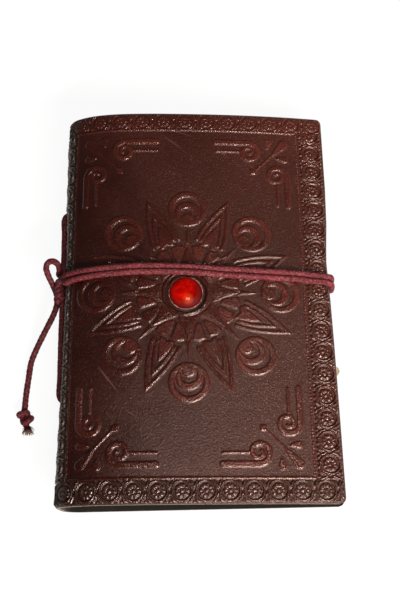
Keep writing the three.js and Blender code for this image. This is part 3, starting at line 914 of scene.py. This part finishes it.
def emboss(x, y):
    """Height of the embossing in millimetres and a mask of its worn tops, on the flattened cover."""
    petal_line, petal_field = petals(x, y)
    star_line, star_field = star(x, y)
    frame_line, band, aged = border(x, y)
    clear = smoothstep(9.0, 9.7, np.hypot(x - STONE_X, y - STONE_Y))
    lines = highest(petal_line, star_line, frame_line) * clear
    fields = highest(roundels(x, y), petal_field, star_field, corners(x, y)) * clear
    height = highest(lines * LINE_HEIGHT, fields * FIELD_HEIGHT, band * BAND_HEIGHT)
    patch = smoothstep(0.25, 0.85, 0.5 + 0.5 * lumps(x, y, 9, 3))
    toward_head = 0.1 + 0.6 * smoothstep(60, 70, y)
    worn = np.clip(fields * (0.2 + 0.8 * patch) + 0.25 * lines * patch + toward_head * band, 0, 1)
    rims = 4 * np.maximum(fields * (1 - fields), lines * (1 - lines) * (1 - band))
    worn = np.maximum(worn, 0.75 * rims * (0.5 + 0.5 * patch))
    worn *= 0.7 + 0.3 * lumps(x, y, 0.9, 5)
    marks = scratches(x, y)
    height -= SCRATCH_DEPTH * marks
    height += 0.05 * lumps(x, y, 9, 11) + 0.01 * lumps(x, y, 1.3, 12)
    return height, np.clip(worn, 0, 1), marks, aged


WINDOW_RING = 8.2
WINDOW_RING_HEIGHT = 0.7
WINDOW_GROOVE = 6.95
WINDOW_GROOVE_DEPTH = 0.75
WINDOW_LIP_DEPTH = 0.45


def stone_ring(x, y):
    """The ring pressed up round the stone's window, with a groove on its outer side."""
    r = np.hypot(x - STONE_X, y - STONE_Y)
    turn = np.arctan2(y - STONE_Y, x - STONE_X)
    uneven = 0.07 * np.sin(3 * turn + 1) + 0.05 * np.sin(7 * turn)
    ring = WINDOW_RING_HEIGHT * (1 - smoothstep(0.1, 0.95, np.abs(r - WINDOW_RING - uneven)))
    lip = WINDOW_LIP_DEPTH * (1 - smoothstep(WINDOW, WINDOW + 0.3, r))
    groove = WINDOW_GROOVE_DEPTH * (1 - smoothstep(0.25, 0.6, np.abs(r - WINDOW_GROOVE)))
    return ring - lip - groove


# Leather

FRONT_STEP = 0.23
FRONT_START = CROWN_X - UPPER_ARC - WALL - SPINE_RADIUS * math.pi / 4
SEAT_REACH = HITCH_RADIUS + CORD_RADIUS
HOLE_REACH = 2.4
HOLE_DIMPLE = 0.9
LINING_EVERY = 6


# Where the leather's colour, its painted light and its painted glints change, in the frame's metres, and the
# depths of its surface.
PAINTED_LIGHT_X = (-0.045, 0.04)
PALE_Y = (0.02, 0.072)
GLINT_Y = (0.035, -0.02)
GRAIN_DEPTH = 0.00012
CREASE_DEPTH = 0.00004
PORE_DEPTH = 0.00005
FOLD_DEPTH = 0.00003
POLISH = (0.37, 0.16)


def leather_look():
    look = Look("embossed_leather")
    place = look.place()
    relief = look.fact("relief")
    headward = look.axis(place, "Y")
    # Painted light and shade: the leather is darker toward the spine and lighter toward the fore-edge, as
    # the light falls, with random blotches of tone mixed in.
    painted_light_toward_edge = look.span(look.axis(place, "X"), *PAINTED_LIGHT_X)
    blotch = look.span(look.noise(place, 38, 3), 0.32, 0.68)
    blotch_and_painted_light = look.plus(look.times(painted_light_toward_edge, 0.7), look.times(blotch, 0.3))
    base = look.mix(blotch_and_painted_light, tone("260201"), tone("4e1f14"))
    fine = look.span(look.noise(place, 1500, 4, 0.65), 0.3, 0.72)
    toward_head = look.span(headward, *PALE_Y, 0.0, 0.55)
    base = look.mix(look.times(toward_head, blotch_and_painted_light), base, tone("6c3226"))
    mottled = look.mix(look.times(look.times(fine, blotch_and_painted_light), 0.3), base, tone("5a3026"))
    speckle = look.span(look.noise(place, 2100, 2, 0.6), 0.42, 0.62, 0.15, 1.0)
    rubbed = look.times(look.times(look.fact("worn"), speckle), look.span(blotch_and_painted_light, 0.15, 0.65, 0.28, 0.8))
    deep = look.mix(rubbed, mottled, tone("8a3d35"))
    hollow = look.span(relief, 0.0, 0.12, 0.25, 0.0)
    hollowed = look.mix(hollow, deep, tone("240d0a"))
    # Painted grey sheen on the raised rings of the spine band, and less on the tail band, over a darker aged
    # tone.
    antique_and_sheen = look.mix(look.span(relief, 0.1, 0.5), tone("211814"), tone("4b3f37"))
    shaded = look.mix(look.times(look.fact("aged"), 0.85), hollowed, antique_and_sheen)
    # Painted glints: pale specks on the lit side of the leather, more of them toward the tail, where the
    # light comes from.
    sparkle = look.span(look.noise(place, 2400, 1, 0.5), 0.6, 0.72, 0.0, 0.6)
    toward_tail = look.span(headward, *GLINT_Y, 0.5, 1.0)
    glint = look.times(look.times(sparkle, blotch_and_painted_light), toward_tail)
    lit = look.mix(glint, shaded, tone("b89a8c"))
    color = look.mix(look.times(look.fact("mark"), 0.45), lit, tone("a8766a"))
    grain = look.times(look.cells(place, 1700), look.span(blotch_and_painted_light, 0.15, 0.6, 0.35, 1.0))
    pores = look.noise(place, 5200, 3, 0.6)
    folds = look.noise(look.stretch(place, (1, 0.4, 1)), 700, 3, 0.6)
    normal = look.bump(grain, GRAIN_DEPTH, 0.8)
    normal = look.bump(look.cells(place, 1050), CREASE_DEPTH, 0.8, below=normal)
    normal = look.bump(pores, PORE_DEPTH, 0.8, below=normal)
    normal = look.bump(folds, FOLD_DEPTH, 0.5, below=normal)
    polished = look.span(relief, 0.03, 0.25, *POLISH)
    smoother = look.plus(polished, look.span(blotch_and_painted_light, 0.1, 0.7, -0.12, 0.0))
    duller = look.plus(smoother, look.times(look.fact("aged"), 0.2))
    rough = look.plus(duller, look.span(fine, 0, 1, -0.04, 0.04))
    return look.finish(color, rough, normal, Specular_IOR_Level=0.95, Specular_Tint=(1.0, 0.77, 0.68, 1.0))


def fibrous_look(name, tones, drawn_out, grain, depth, strength, roughness, specular):
    """Cut leather, whose fibres can be drawn out through its thickness."""
    look = Look(name)
    fibre = look.noise(look.stretch(look.place(), (1, 1, drawn_out)), *grain)
    color = look.mix(look.span(fibre, 0.3, 0.7), *map(tone, tones))
    normal = look.bump(fibre, depth, strength)
    return look.finish(color, roughness, normal, Specular_IOR_Level=specular)


def suede_look():
    look = Look("suede_lining_and_painted_shade")
    place = look.place()
    nap = look.noise(place, 900, 5, 0.7)
    cloud = look.span(look.noise(place, 60, 3), 0.3, 0.7)
    # A real suede lining, given a near-black tone that is painted shade: it stands for the shade in the gap
    # under the front cover's tail edge.
    color = look.mix(look.span(nap, 0.3, 0.7), tone("0d0d0a"), tone("1d1a16"))
    color = look.mix(look.times(cloud, 0.35), color, tone("241e18"))
    normal = look.bump(nap, 0.00025, 0.8)
    return look.finish(color, 0.95, normal, Sheen_Weight=0.2, Sheen_Roughness=0.6, Specular_IOR_Level=0.1)


LEATHER_LOOKS = [
    leather_look(),
    fibrous_look("raw_leather_edge", ("9c7c6c", "d8bfae"), drawn_out=5, grain=(1400, 4, 0.7),
                 depth=0.0002, strength=0.7, roughness=0.85, specular=0.25),
    fibrous_look("burnished_edge", ("0a0403", "1c0d0a"), drawn_out=4, grain=(1200, 3, 0.6),
                 depth=0.0001, strength=0.5, roughness=0.9, specular=0.03),
    suede_look(),
]
GRAINED, RAW, BURNISHED, LINING = range(len(LEATHER_LOOKS))


def corner_inset(y):
    into = np.abs(y) - (HALF_HEIGHT - CORNER_RADIUS)
    into = np.clip(into, 0, CORNER_RADIUS)
    return CORNER_RADIUS - np.sqrt(CORNER_RADIUS ** 2 - into ** 2)


def seat_depth(y, z):
    """How deep the hitch presses into the spine, and the leather into the strand's two holes."""
    reach = np.sqrt(np.maximum(0, SEAT_REACH ** 2 - (z - STRAND_Z) ** 2))
    depth = np.maximum(0, HITCH_X + reach - SPINE - 1.05)
    low = HITCH_END_Y - CORD / 2 - CORD_GAP
    high = HITCH_Y + CORD / 2 + CORD_GAP
    depth = depth * smoothstep(low - 1.2, low, y) * (1 - smoothstep(high, high + 1.2, y))
    for hole in (-HOLE_Y, HOLE_Y):
        off = np.hypot(y - hole, z - STRAND_Z)
        dimple = HOLE_DIMPLE * (1 - smoothstep(0.9, HOLE_REACH, off))
        depth = np.where(off < HOLE_REACH, dimple, depth)
    return depth


def front_place(s, y):
    """Point and outward normal of the leather's outer face: s runs along it from under the spine."""
    turn = math.pi / 2 - CROWN_TURN + (CROWN_X - s) / SPINE_RADIUS
    down = CROWN_X - UPPER_ARC - s
    low = np.clip((down - WALL) / SPINE_RADIUS, 0, None)
    radius = SPINE_RADIUS - PRESSED_DEPTH * pressed(BEND, y) * np.sin(low) ** 2
    on_board = np.maximum(s, CROWN_X)
    slope = front_slope(on_board + 0.5)
    size = np.hypot(1, slope)
    board = s >= CROWN_X
    upper = (~board) & (turn <= math.pi / 2)
    wall = (down > 0) & (down <= WALL)
    lower = down > WALL
    parts = [lower, wall, upper, board]
    x = np.select(parts, [BEND - radius * np.cos(low), SPINE, BEND - SPINE_RADIUS * np.sin(turn), s])
    z = np.select(parts, [SPINE_RADIUS - radius * np.sin(low), UPPER_BEND_Z - down,
                          UPPER_BEND_Z + SPINE_RADIUS * np.cos(turn), front_height(on_board)])
    nx = np.select(parts, [-np.cos(low), -1, -np.sin(turn), -slope / size])
    nz = np.select(parts, [-np.sin(low), 0, np.cos(turn), 1 / size])
    drawn = np.select([upper | board, lower], [smoothstep(math.pi / 2 - CROWN_TURN, 1.31, turn),
                                               smoothstep(0, math.pi / 2, math.pi / 2 - low)], 1.0)
    return x + spine_waist(y) * drawn, z, nx, nz


def coarse(count):
    return np.unique(np.append(np.arange(0, count, LINING_EVERY), count - 1))


def sheet_of_leather(s, y, face_place, relief_of, order, lining_order):
    """A leather sheet: a fine outer face, a plain inner one, and the cut edges between them."""
    columns, rows = len(s), len(y)
    grid_s, grid_y = np.meshgrid(s, y)
    ends = corner_inset(grid_y) + fore_waist(grid_y)
    near_edge = np.clip((grid_s - (FORE_EDGE - 8)) / 8, 0, 1)
    grid_s = grid_s - ends * near_edge
    x, z, nx, nz = face_place(grid_s, grid_y)
    height, worn, mark, aged = relief_of(grid_s, grid_y, z)
    edge = lowest(HALF_HEIGHT - np.abs(grid_y), FORE_EDGE - ends - grid_s, 2)
    rounding = 0.45 * (1 - smoothstep(0, 0.6, edge)) ** 1.5
    height = height * smoothstep(0.2, 1.5, edge) - rounding
    outer = np.stack([x + nx * height, grid_y, z + nz * height], -1).reshape(-1, 3)
    inner = np.stack([x - nx * LEATHER, grid_y, z - nz * LEATHER], -1).reshape(-1, 3)
    coarse_rows, coarse_columns = coarse(rows), coarse(columns)
    lining = inner.reshape(rows, columns, 3)[np.ix_(coarse_rows, coarse_columns)].reshape(-1, 3)
    loop = np.concatenate([
        np.arange(columns), np.arange(1, rows) * columns + columns - 1,
        (rows - 1) * columns + np.arange(columns - 2, -1, -1), np.arange(rows - 2, 0, -1) * columns])
    outer_faces = grid_faces(rows, columns, 0, order)
    lining_faces = grid_faces(len(coarse_rows), len(coarse_columns), len(outer), lining_order)
    count = len(loop)
    k = np.arange(count)
    after = (k + 1) % count
    top_start = len(outer) + len(lining)
    low_start = top_start + count
    walls = np.stack([top_start + k, low_start + k, low_start + after, top_start + after], -1)[:, order]
    wall_kinds = np.full(count, RAW)
    wall_kinds[(k >= columns - 1) & (k < columns + rows - 2)] = BURNISHED
    vertices = np.concatenate([outer, lining, outer[loop], inner[loop]])
    plain = np.zeros(len(vertices) - len(outer))
    facts = {key: np.concatenate([values.ravel(), plain])
             for key, values in (("relief", height), ("worn", worn), ("mark", mark), ("aged", aged))}
    return vertices, outer_faces, lining_faces, walls, wall_kinds, facts, (grid_s, grid_y)


def leather_piece(name, vertices, outer, lining, walls, wall_kinds, facts):
    faces = outer.tolist() + lining.tolist() + walls.tolist()
    kinds = [GRAINED] * len(outer) + [LINING] * len(lining) + wall_kinds.tolist()
    return make_piece(name, vertices, faces, LEATHER_LOOKS, kinds, facts)


def rows_of(step):
    """Where the rows of a sheet lie, from the tail to the head."""
    rows = int(round(2 * HALF_HEIGHT / step))
    return np.linspace(-HALF_HEIGHT, HALF_HEIGHT, rows + 1)


def front_relief(s, y, z):
    height, worn, mark, aged = emboss(s, y)
    down = CROWN_X - UPPER_ARC - s
    height = np.where(down > 1, height * 0.5, height)
    height = height + np.where(s > BEND, stone_ring(s, y), 0)
    on_wall = (down > -3.0) & (down < WALL + 3.0)
    height = height - np.where(on_wall, seat_depth(y, z), 0)
    return height, worn, mark, aged


def front_leather():
    """The sheet of the front cover and the spine, with the round window for the stone."""
    s = np.arange(FRONT_START, FORE_EDGE, FRONT_STEP)
    s = np.append(s[s < FORE_EDGE - 0.15], FORE_EDGE)
    vertices, outer, lining, walls, wall_kinds, facts, (grid_s, grid_y) = sheet_of_leather(
        s, rows_of(FRONT_STEP), front_place, front_relief, FORWARD, REVERSED)
    off_x = grid_s.ravel() - STONE_X
    off_y = grid_y.ravel() - STONE_Y
    from_stone = np.hypot(off_x, off_y)
    outer = outer[~(from_stone[outer] < WINDOW).all(axis=1)]
    used = np.zeros(len(from_stone), bool)
    used[outer.ravel()] = True
    snap = np.flatnonzero(used & (from_stone < WINDOW))
    share = WINDOW / from_stone[snap]
    x = STONE_X + off_x[snap] * share
    vertices[snap] = np.stack([x, STONE_Y + off_y[snap] * share, front_height(x) - WINDOW_SINK], -1)
    return leather_piece("front_leather", vertices, outer, lining, walls, wall_kinds, facts)


BACK_STEP = 0.55


def back_place(s, y):
    """Outer face of the back cover, which runs from the lower bend to the fore-edge."""
    turn = np.clip((BEND - s) / SPINE_RADIUS, 0, math.pi / 2)
    radius = SPINE_RADIUS - PRESSED_DEPTH * pressed(BEND, y) * np.cos(turn) ** 2
    board = s >= BEND
    lift = PRESSED_DEPTH * pressed(s, y)
    x = np.where(board, s, BEND - radius * np.sin(turn))
    z = np.where(board, lift, SPINE_RADIUS - radius * np.cos(turn))
    nx = np.where(board, 0, -np.sin(turn))
    nz = np.where(board, -1, -np.cos(turn))
    return x + spine_waist(y) * smoothstep(0, math.pi / 2, turn), z, nx, nz


def back_relief(s, y, _):
    inside = inside_frame(s, y)
    lines = np.maximum(ridge(inside, 0.45, 0.4), ridge(inside - 2.4, 0.4, 0.4)) * 0.4
    flat = 1 - smoothstep(0.02, 0.2, pressed(s, y))
    height = -lines * flat * 0.5
    height = height + 0.04 * (lumps(s, y, 8, 21) - 1)
    worn = 0.35 * (0.5 + 0.5 * lumps(s, y, 11, 22))
    marks = 0.3 * np.maximum(0, lumps(s, y, 2.2, 23) - 0.75)
    return height, worn, marks, np.zeros_like(s)


def back_leather():
    start = BEND - SPINE_RADIUS * math.pi / 4
    s = np.append(np.arange(start, FORE_EDGE - 0.3, BACK_STEP), FORE_EDGE)
    sheet = sheet_of_leather(s, rows_of(BACK_STEP), back_place, back_relief, REVERSED, FORWARD)
    return leather_piece("back_leather", *sheet[:-1])


front = front_leather()
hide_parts("front_cover", "spine_cover")
tuple(point(SPINE, 0, UPPER_BEND_Z))
tuple(point(BEND, 0, SPINE_THICKNESS))
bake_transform(front)

back = back_leather()
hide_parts("back_cover")
tuple(point(SPINE, 0, SPINE_RADIUS))
tuple(point(BEND, 0, 0))
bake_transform(back)


# Stone

STONE_TILT = -math.atan(front_slope(STONE_X))
STONE_TOP = float(front_height(STONE_X)) + 2.6
STONE_BASE = -0.6
STONE_SIDE = 0.5
STONE_DOME = 2.6


def on_cover(r, turn, h):
    """A point about the stone's axis, which stands square to the cover."""
    a, b = r * math.cos(turn), r * math.sin(turn)
    x = STONE_X + a * math.cos(STONE_TILT) + h * math.sin(STONE_TILT)
    z = front_height(STONE_X) - a * math.sin(STONE_TILT) + h * math.cos(STONE_TILT)
    return [x, STONE_Y + b, z]


def turned(name, profile, segments, material):
    """A closed turned piece from a profile that starts and ends on the axis."""
    turns = np.linspace(0, 2 * math.pi, segments, endpoint=False)
    vertices = [on_cover(0, 0, profile[0][1])]
    vertices += [on_cover(r, turn, h) for r, h in profile[1:-1] for turn in turns]
    vertices.append(on_cover(0, 0, profile[-1][1]))
    rings = len(profile) - 2
    last = 1 + (rings - 1) * segments
    around_axis = [(m, (m + 1) % segments) for m in range(segments)]
    faces = [[0, 1 + after, 1 + m] for m, after in around_axis]
    faces += grid_faces(rings, segments, 1, closed=True).tolist()
    faces += [[last + m, last + after, len(vertices) - 1] for m, after in around_axis]
    return make_piece(name, vertices, faces, [material])


def stone_look():
    look = Look("red_stone")
    place = look.place()
    cloud = look.span(look.noise(place, 420, 4, 0.6), 0.35, 0.65)
    veins = look.span(look.cells(place, 520), 0.25, 0.7)
    deep = look.mix(cloud, tone("a80000"), tone("f41004"))
    veined = look.mix(look.times(veins, 0.35), deep, tone("700000"))
    # Painted shade: the stone darkens away from the point where the light shines on it.
    from_shine = look.distance(place, point(STONE_X - 1.6, STONE_Y + 1.4, STONE_TOP))
    shade_away_from_shine = look.mix(look.span(from_shine, 0.0034, 0.0070, 0.0, 0.9), veined, tone("4c0000"))
    # Painted glow: orange light painted round the highlight, as if shining through the stone.
    from_glow = look.distance(place, point(STONE_X + 0.9, STONE_Y - 3.0, STONE_TOP - 0.4))
    color = look.mix(look.span(from_glow, 0.0003, 0.0024, 0.6, 0.0), shade_away_from_shine, tone("ff5c22"))
    from_top = look.distance(place, point(STONE_X, STONE_Y, STONE_TOP))
    polish = look.span(from_top, 0.0038, 0.0048, 0.08, 0.65)
    # The weak red emission is a painted glow.
    return look.finish(color, polish, Specular_IOR_Level=0.22,
                       Subsurface_Weight=0.2, Subsurface_Scale=0.002, Subsurface_Radius=(1.0, 0.12, 0.05),
                       Emission_Color=tone("ff1a00"), Emission_Strength=0.04)


def stone_piece():
    profile = [(0, STONE_BASE), (5.7, STONE_BASE), (5.95, STONE_BASE + 0.25), (6.0, 0.2), (6.0, 0.55)]
    for turn in np.linspace(0.06, math.pi / 2, 26):
        r = STONE_RADIUS * math.cos(turn) ** 0.85
        profile.append((r, STONE_SIDE + STONE_DOME * math.sin(turn)))
    profile[-1] = (0, STONE_SIDE + STONE_DOME)
    return turned("stone_cabochon", profile, 96, stone_look())


stone = stone_piece()
dress(stone, "stone", "front_board")


RIM_SEGMENTS = 180
RIM_POINTS = 10
RIM_RADIUS = 6.26


def window_rim():
    """The ragged cut edge of the leather round the stone."""
    rng = np.random.default_rng(19)
    jag = np.convolve(rng.uniform(-1, 1, RIM_SEGMENTS + 8), np.ones(3) / 3, "same")[4:4 + RIM_SEGMENTS]
    turns = np.linspace(0, 2 * np.pi, RIM_SEGMENTS, endpoint=False)
    slow = lumps(np.cos(turns) * 6, np.sin(turns) * 6, 2.2, 8)
    vertices = []
    for m, turn in enumerate(turns):
        width = max(0.06, 0.2 + 0.16 * slow[m] + 0.16 * jag[m])
        for q in range(RIM_POINTS):
            lap = 2 * math.pi * q / RIM_POINTS
            r = RIM_RADIUS + width * math.cos(lap)
            h = 0.1 + (0.1 + width) * math.sin(lap) + 0.14 * jag[(m * 3 + q * 7) % RIM_SEGMENTS]
            vertices.append(on_cover(r, turn, h))
    faces = grid_faces(RIM_SEGMENTS + 1, RIM_POINTS, 0, BACKWARD, closed=True) % len(vertices)
    look = fibrous_look("raw_window_rim", ("7c3a34", "dcb0a0"), drawn_out=1, grain=(2600, 4, 0.7),
                        depth=0.0002, strength=0.8, roughness=0.85, specular=0.2)
    return make_piece("window_rim", vertices, faces.tolist(), [look])


rim = window_rim()
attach(rim, "front_board")

PATCH_PROFILE = [(0, -1.98), (8.3, -1.98), (8.6, -1.85), (8.6, -1.3), (8.4, -1.2), (0, -1.2)]
backing = turned("stone_patch", PATCH_PROFILE, 64, LEATHER_LOOKS[LINING])
dress(backing, "stone_backing", "front_board")


# Pages

SIGNATURES = 10
LOWER_SIGNATURES = 5
PAGE_HALF = 73.5
PAGE_INSET = 3.4
PAGE_GAP = 0.12
BLOCK_GAP = 0.3
DECKLE = 0.45
FLAP_Y = -28.4
FLAP_LENGTH = 5.6
FLAP_REACH = 4.0
LEAVES = 4
LEAF_GAP = 0.10
LEAF_STATIONS = [-39, -35.5, -31, -25, -18, -9, 2, 14, 27, 38, 43, 45.5]
FOLD_POINTS = 9
FOLD_LAP = 0.6
ROW_STEP = 1.5


def paper_look():
    look = Look("handmade_paper")
    place = look.place()
    pulp = look.noise(place, 500, 5, 0.65)
    cloud = look.span(look.noise(place, 45, 3), 0.3, 0.7)
    color = look.mix(look.span(pulp, 0.3, 0.7), tone("d8c7a0"), tone("efe3c6"))
    color = look.mix(look.times(cloud, 0.4), color, tone("e2cfa4"))
    fleck = look.span(look.cells(place, 340), 0.0, 0.12, 0.5, 0.0)
    color = look.mix(fleck, color, tone("a98d62"))
    clean, dirty = point(FORE_EDGE - 0.6, 0, 0).x, point(FORE_EDGE + 1.2, 0, 0).x
    # Darker where a leaf reaches past the fore-edge, as soiled paper.
    shade_and_soiling = look.span(look.axis(place, "X"), clean, dirty, 0.0, 0.85)
    color = look.mix(shade_and_soiling, color, tone("6e4c30"))
    normal = look.bump(pulp, 0.00012, 0.7)
    return look.finish(color, 0.95, normal, Specular_IOR_Level=0.15)


PAPER_LOOK = paper_look()


def block_low(x, y):
    return LEATHER + BLOCK_GAP + PRESSED_DEPTH * pressed(np.maximum(x, BEND), y)


FOLD_END = BEND + 2
FOLD_SLOPE = (front_height(FOLD_END) - front_height(CROWN_X)) / (FOLD_END - CROWN_X)


def block_high(x):
    fall = FOLD_SLOPE * np.maximum(0, FOLD_END - x)
    return front_height(np.maximum(x, FOLD_END)) - fall - LEATHER - BLOCK_GAP


def inside_spine(z, y):
    """The innermost x that a page may reach at a height, inside the leather of the spine."""
    inset = LEATHER + BLOCK_GAP
    upper = BEND - np.sqrt(np.maximum(0, (SPINE_RADIUS - inset) ** 2 - (z - UPPER_BEND_Z) ** 2))
    straight = np.full_like(z, SPINE + inset)
    turn = np.linspace(0, math.pi / 2, 40)
    share = pressed(BEND, y)
    low_x = np.empty_like(z)
    for k in range(len(z)):
        radius = SPINE_RADIUS - inset - PRESSED_DEPTH * share[k] * np.sin(turn) ** 2
        heights = SPINE_RADIUS - radius * np.sin(turn)
        places = BEND - radius * np.cos(turn)
        low_x[k] = np.interp(z[k], heights[::-1], places[::-1])
    return np.where(z >= UPPER_BEND_Z, upper, np.where(z >= SPINE_RADIUS, straight, low_x))


def leaf_wave(y, k, leaf):
    deckle = DECKLE * (np.sin(y / 9 + 2.1 * k) + 0.6 * np.sin(y / 4.3 + 1.3 * k * k))
    fine = 0.16 * lumps(y, np.full_like(y, 3.0 * (k * LEAVES + leaf)), 1.4, 31)
    return deckle + fine - 0.35 * abs(leaf - (LEAVES - 1) / 2)


def leaf_side(y, stations, k, leaf, upper):
    """The lower or the upper face of a leaf, station by station from the fold to the fore-edge."""
    share = (leaf + upper) / LEAVES
    outermost = leaf == (LEAVES - 1 if upper else 0)
    side = []
    for x in stations:
        block = block_high(x) - block_low(x, y)
        bottom = block_low(x, y) + block * (k / SIGNATURES) + PAGE_GAP / 2
        top = block_low(x, y) + block * ((k + 1) / SIGNATURES) - PAGE_GAP / 2
        gap = LEAF_GAP * (top - bottom) / LEAVES * (-1 if upper else 1)
        side.append(np.stack([x, y, bottom + (top - bottom) * share + (0 if outermost else gap)], -1))
    return side


def signature(k):
    """One folded section: leaves that share a rounded fold, each with its own deckle edge."""
    y = np.append(np.arange(-PAGE_HALF, PAGE_HALF, ROW_STEP), PAGE_HALF)
    rows = len(y)
    fold_depth = block_high(CROWN_X) - block_low(BEND, y)
    fold_low = block_low(BEND, y) + fold_depth * (k / SIGNATURES) + PAGE_GAP / 2
    fold_high = block_low(BEND, y) + fold_depth * ((k + 1) / SIGNATURES) - PAGE_GAP / 2
    swell = (fold_high - fold_low) / 2
    fold = np.maximum(inside_spine(fold_low, y), inside_spine(fold_high, y)) + spine_waist(y)
    vertices, faces = [], []
    for leaf in range(LEAVES):
        torn = k == SIGNATURES - 2 and leaf == LEAVES - 1
        flap = np.where(torn, np.maximum(0, 1 - (np.abs(y - FLAP_Y) / (FLAP_LENGTH / 2)) ** 2), 0)
        reach = FORE_EDGE - PAGE_INSET + leaf_wave(y, k, leaf) + FLAP_REACH * np.sqrt(flap)
        start = fold + swell * (1.0 if leaf in (0, LEAVES - 1) else 1.5)
        stations = [start, *(np.full(rows, float(v)) for v in [FOLD_END, *LEAF_STATIONS]), reach]
        ring = leaf_side(y, stations, k, leaf, False) + leaf_side(y, stations, k, leaf, True)[::-1]
        count = len(ring)
        base = len(vertices)
        vertices.extend(np.stack(ring, 1).reshape(-1, 3).tolist())
        faces += grid_faces(rows, count, base, BACKWARD, closed=True).tolist()
        faces.append([base + i for i in range(count)])
        faces.append([base + (rows - 1) * count + i for i in range(count)][::-1])
    # The rounded fold that closes the leaves at the spine.
    base = len(vertices)
    for j in range(rows):
        middle = (fold_low[j] + fold_high[j]) / 2
        for m, turn in enumerate(np.linspace(-math.pi / 2, math.pi / 2, FOLD_POINTS)):
            lap = swell[j] * FOLD_LAP if m in (0, FOLD_POINTS - 1) else 0
            x = fold[j] + swell[j] * (1 - math.cos(turn)) + lap
            vertices.append([x, y[j], middle + swell[j] * math.sin(turn)])
    faces += grid_faces(rows, FOLD_POINTS, base).tolist()
    half, body = ("lower", "text_block") if k < LOWER_SIGNATURES else ("upper", "upper_pages")
    piece = make_piece(f"{half}_leaves_{k + 1}", vertices, faces, [PAPER_LOOK])
    piece.data.polygons.foreach_set("use_smooth", np.zeros(len(piece.data.polygons), bool))
    dress(piece, f"{half}_signature_{k + 1}", body)


for k in range(SIGNATURES):
    signature(k)

tuple(point(0, 0, CORD / 2))
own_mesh(winding)


# Floor and light


FLOOR_REACH = 3.0
FLOOR_SINK = 0.00005
FLOOR_SEEN = 0.92
FLOOR_MIRRORED = 0.6
FLOOR_GREYS = (0.145, 0.155)
WHITE = (1, 1, 1, 1)


def floor_look():
    """Pale grey to the lights, and nearly white to the camera and to what mirrors it."""
    look = Look("pale_floor")
    place = look.node("ShaderNodeTexCoord").outputs["Object"]
    cloud = look.span(look.noise(place, 3, 2), 0.3, 0.7)
    color = look.mix(cloud, *((grey, grey, grey, 1) for grey in FLOOR_GREYS))
    rays = look.node("ShaderNodeLightPath").outputs
    seen = look.times(rays["Is Camera Ray"], FLOOR_SEEN)
    glow = look.plus(seen, look.times(rays["Is Glossy Ray"], FLOOR_MIRRORED))
    return look.finish(color, 0.9, Specular_IOR_Level=0.1, Emission_Color=WHITE, Emission_Strength=glow)


def floor():
    ends = (-FLOOR_REACH, FLOOR_REACH)
    mesh = bpy.data.meshes.new("floor")
    mesh.from_pydata([(x, y, -FLOOR_SINK) for x in ends for y in ends], [], [(0, 2, 3, 1)])
    mesh.materials.append(floor_look())
    made = bpy.data.objects.new("floor", mesh)
    bpy.context.scene.collection.objects.link(made)


floor()

LIGHT_AIM = Vector((0, 0, 0.01))
AMBIENT = 0.055


def area_light(name, place, size, power, color):
    """A rectangular softbox that faces the book."""
    data = bpy.data.lights.new(name, "AREA")
    data.shape = "RECTANGLE"
    data.size, data.size_y = size
    data.energy = power
    data.color = color
    made = bpy.data.objects.new(name, data)
    bpy.context.scene.collection.objects.link(made)
    made.location = place
    made.rotation_euler = (LIGHT_AIM - Vector(place)).to_track_quat("-Z", "Y").to_euler()


area_light("tail_softbox", place=(0.43, -0.66, 0.56), size=(0.7, 0.08), power=10.2,
           color=(1.0, 0.97, 0.94))
area_light("overhead_softbox", place=(0.24, -0.15, 0.93), size=(0.2, 0.2), power=1.75,
           color=(1.0, 0.96, 0.92))

world = bpy.data.worlds.new("studio")
world.use_nodes = True
bpy.context.scene.world = world
background = world.node_tree.nodes["Background"]
background.inputs["Color"].default_value = WHITE
seen_directly = world.node_tree.nodes.new("ShaderNodeLightPath")
strength = world.node_tree.nodes.new("ShaderNodeMapRange")
strength.inputs["To Min"].default_value = AMBIENT
strength.inputs["To Max"].default_value = 1.0
world.node_tree.links.new(seen_directly.outputs["Is Camera Ray"], strength.inputs["Value"])
world.node_tree.links.new(strength.outputs["Result"], background.inputs["Strength"])

bpy.context.scene.view_settings.view_transform = "Standard"
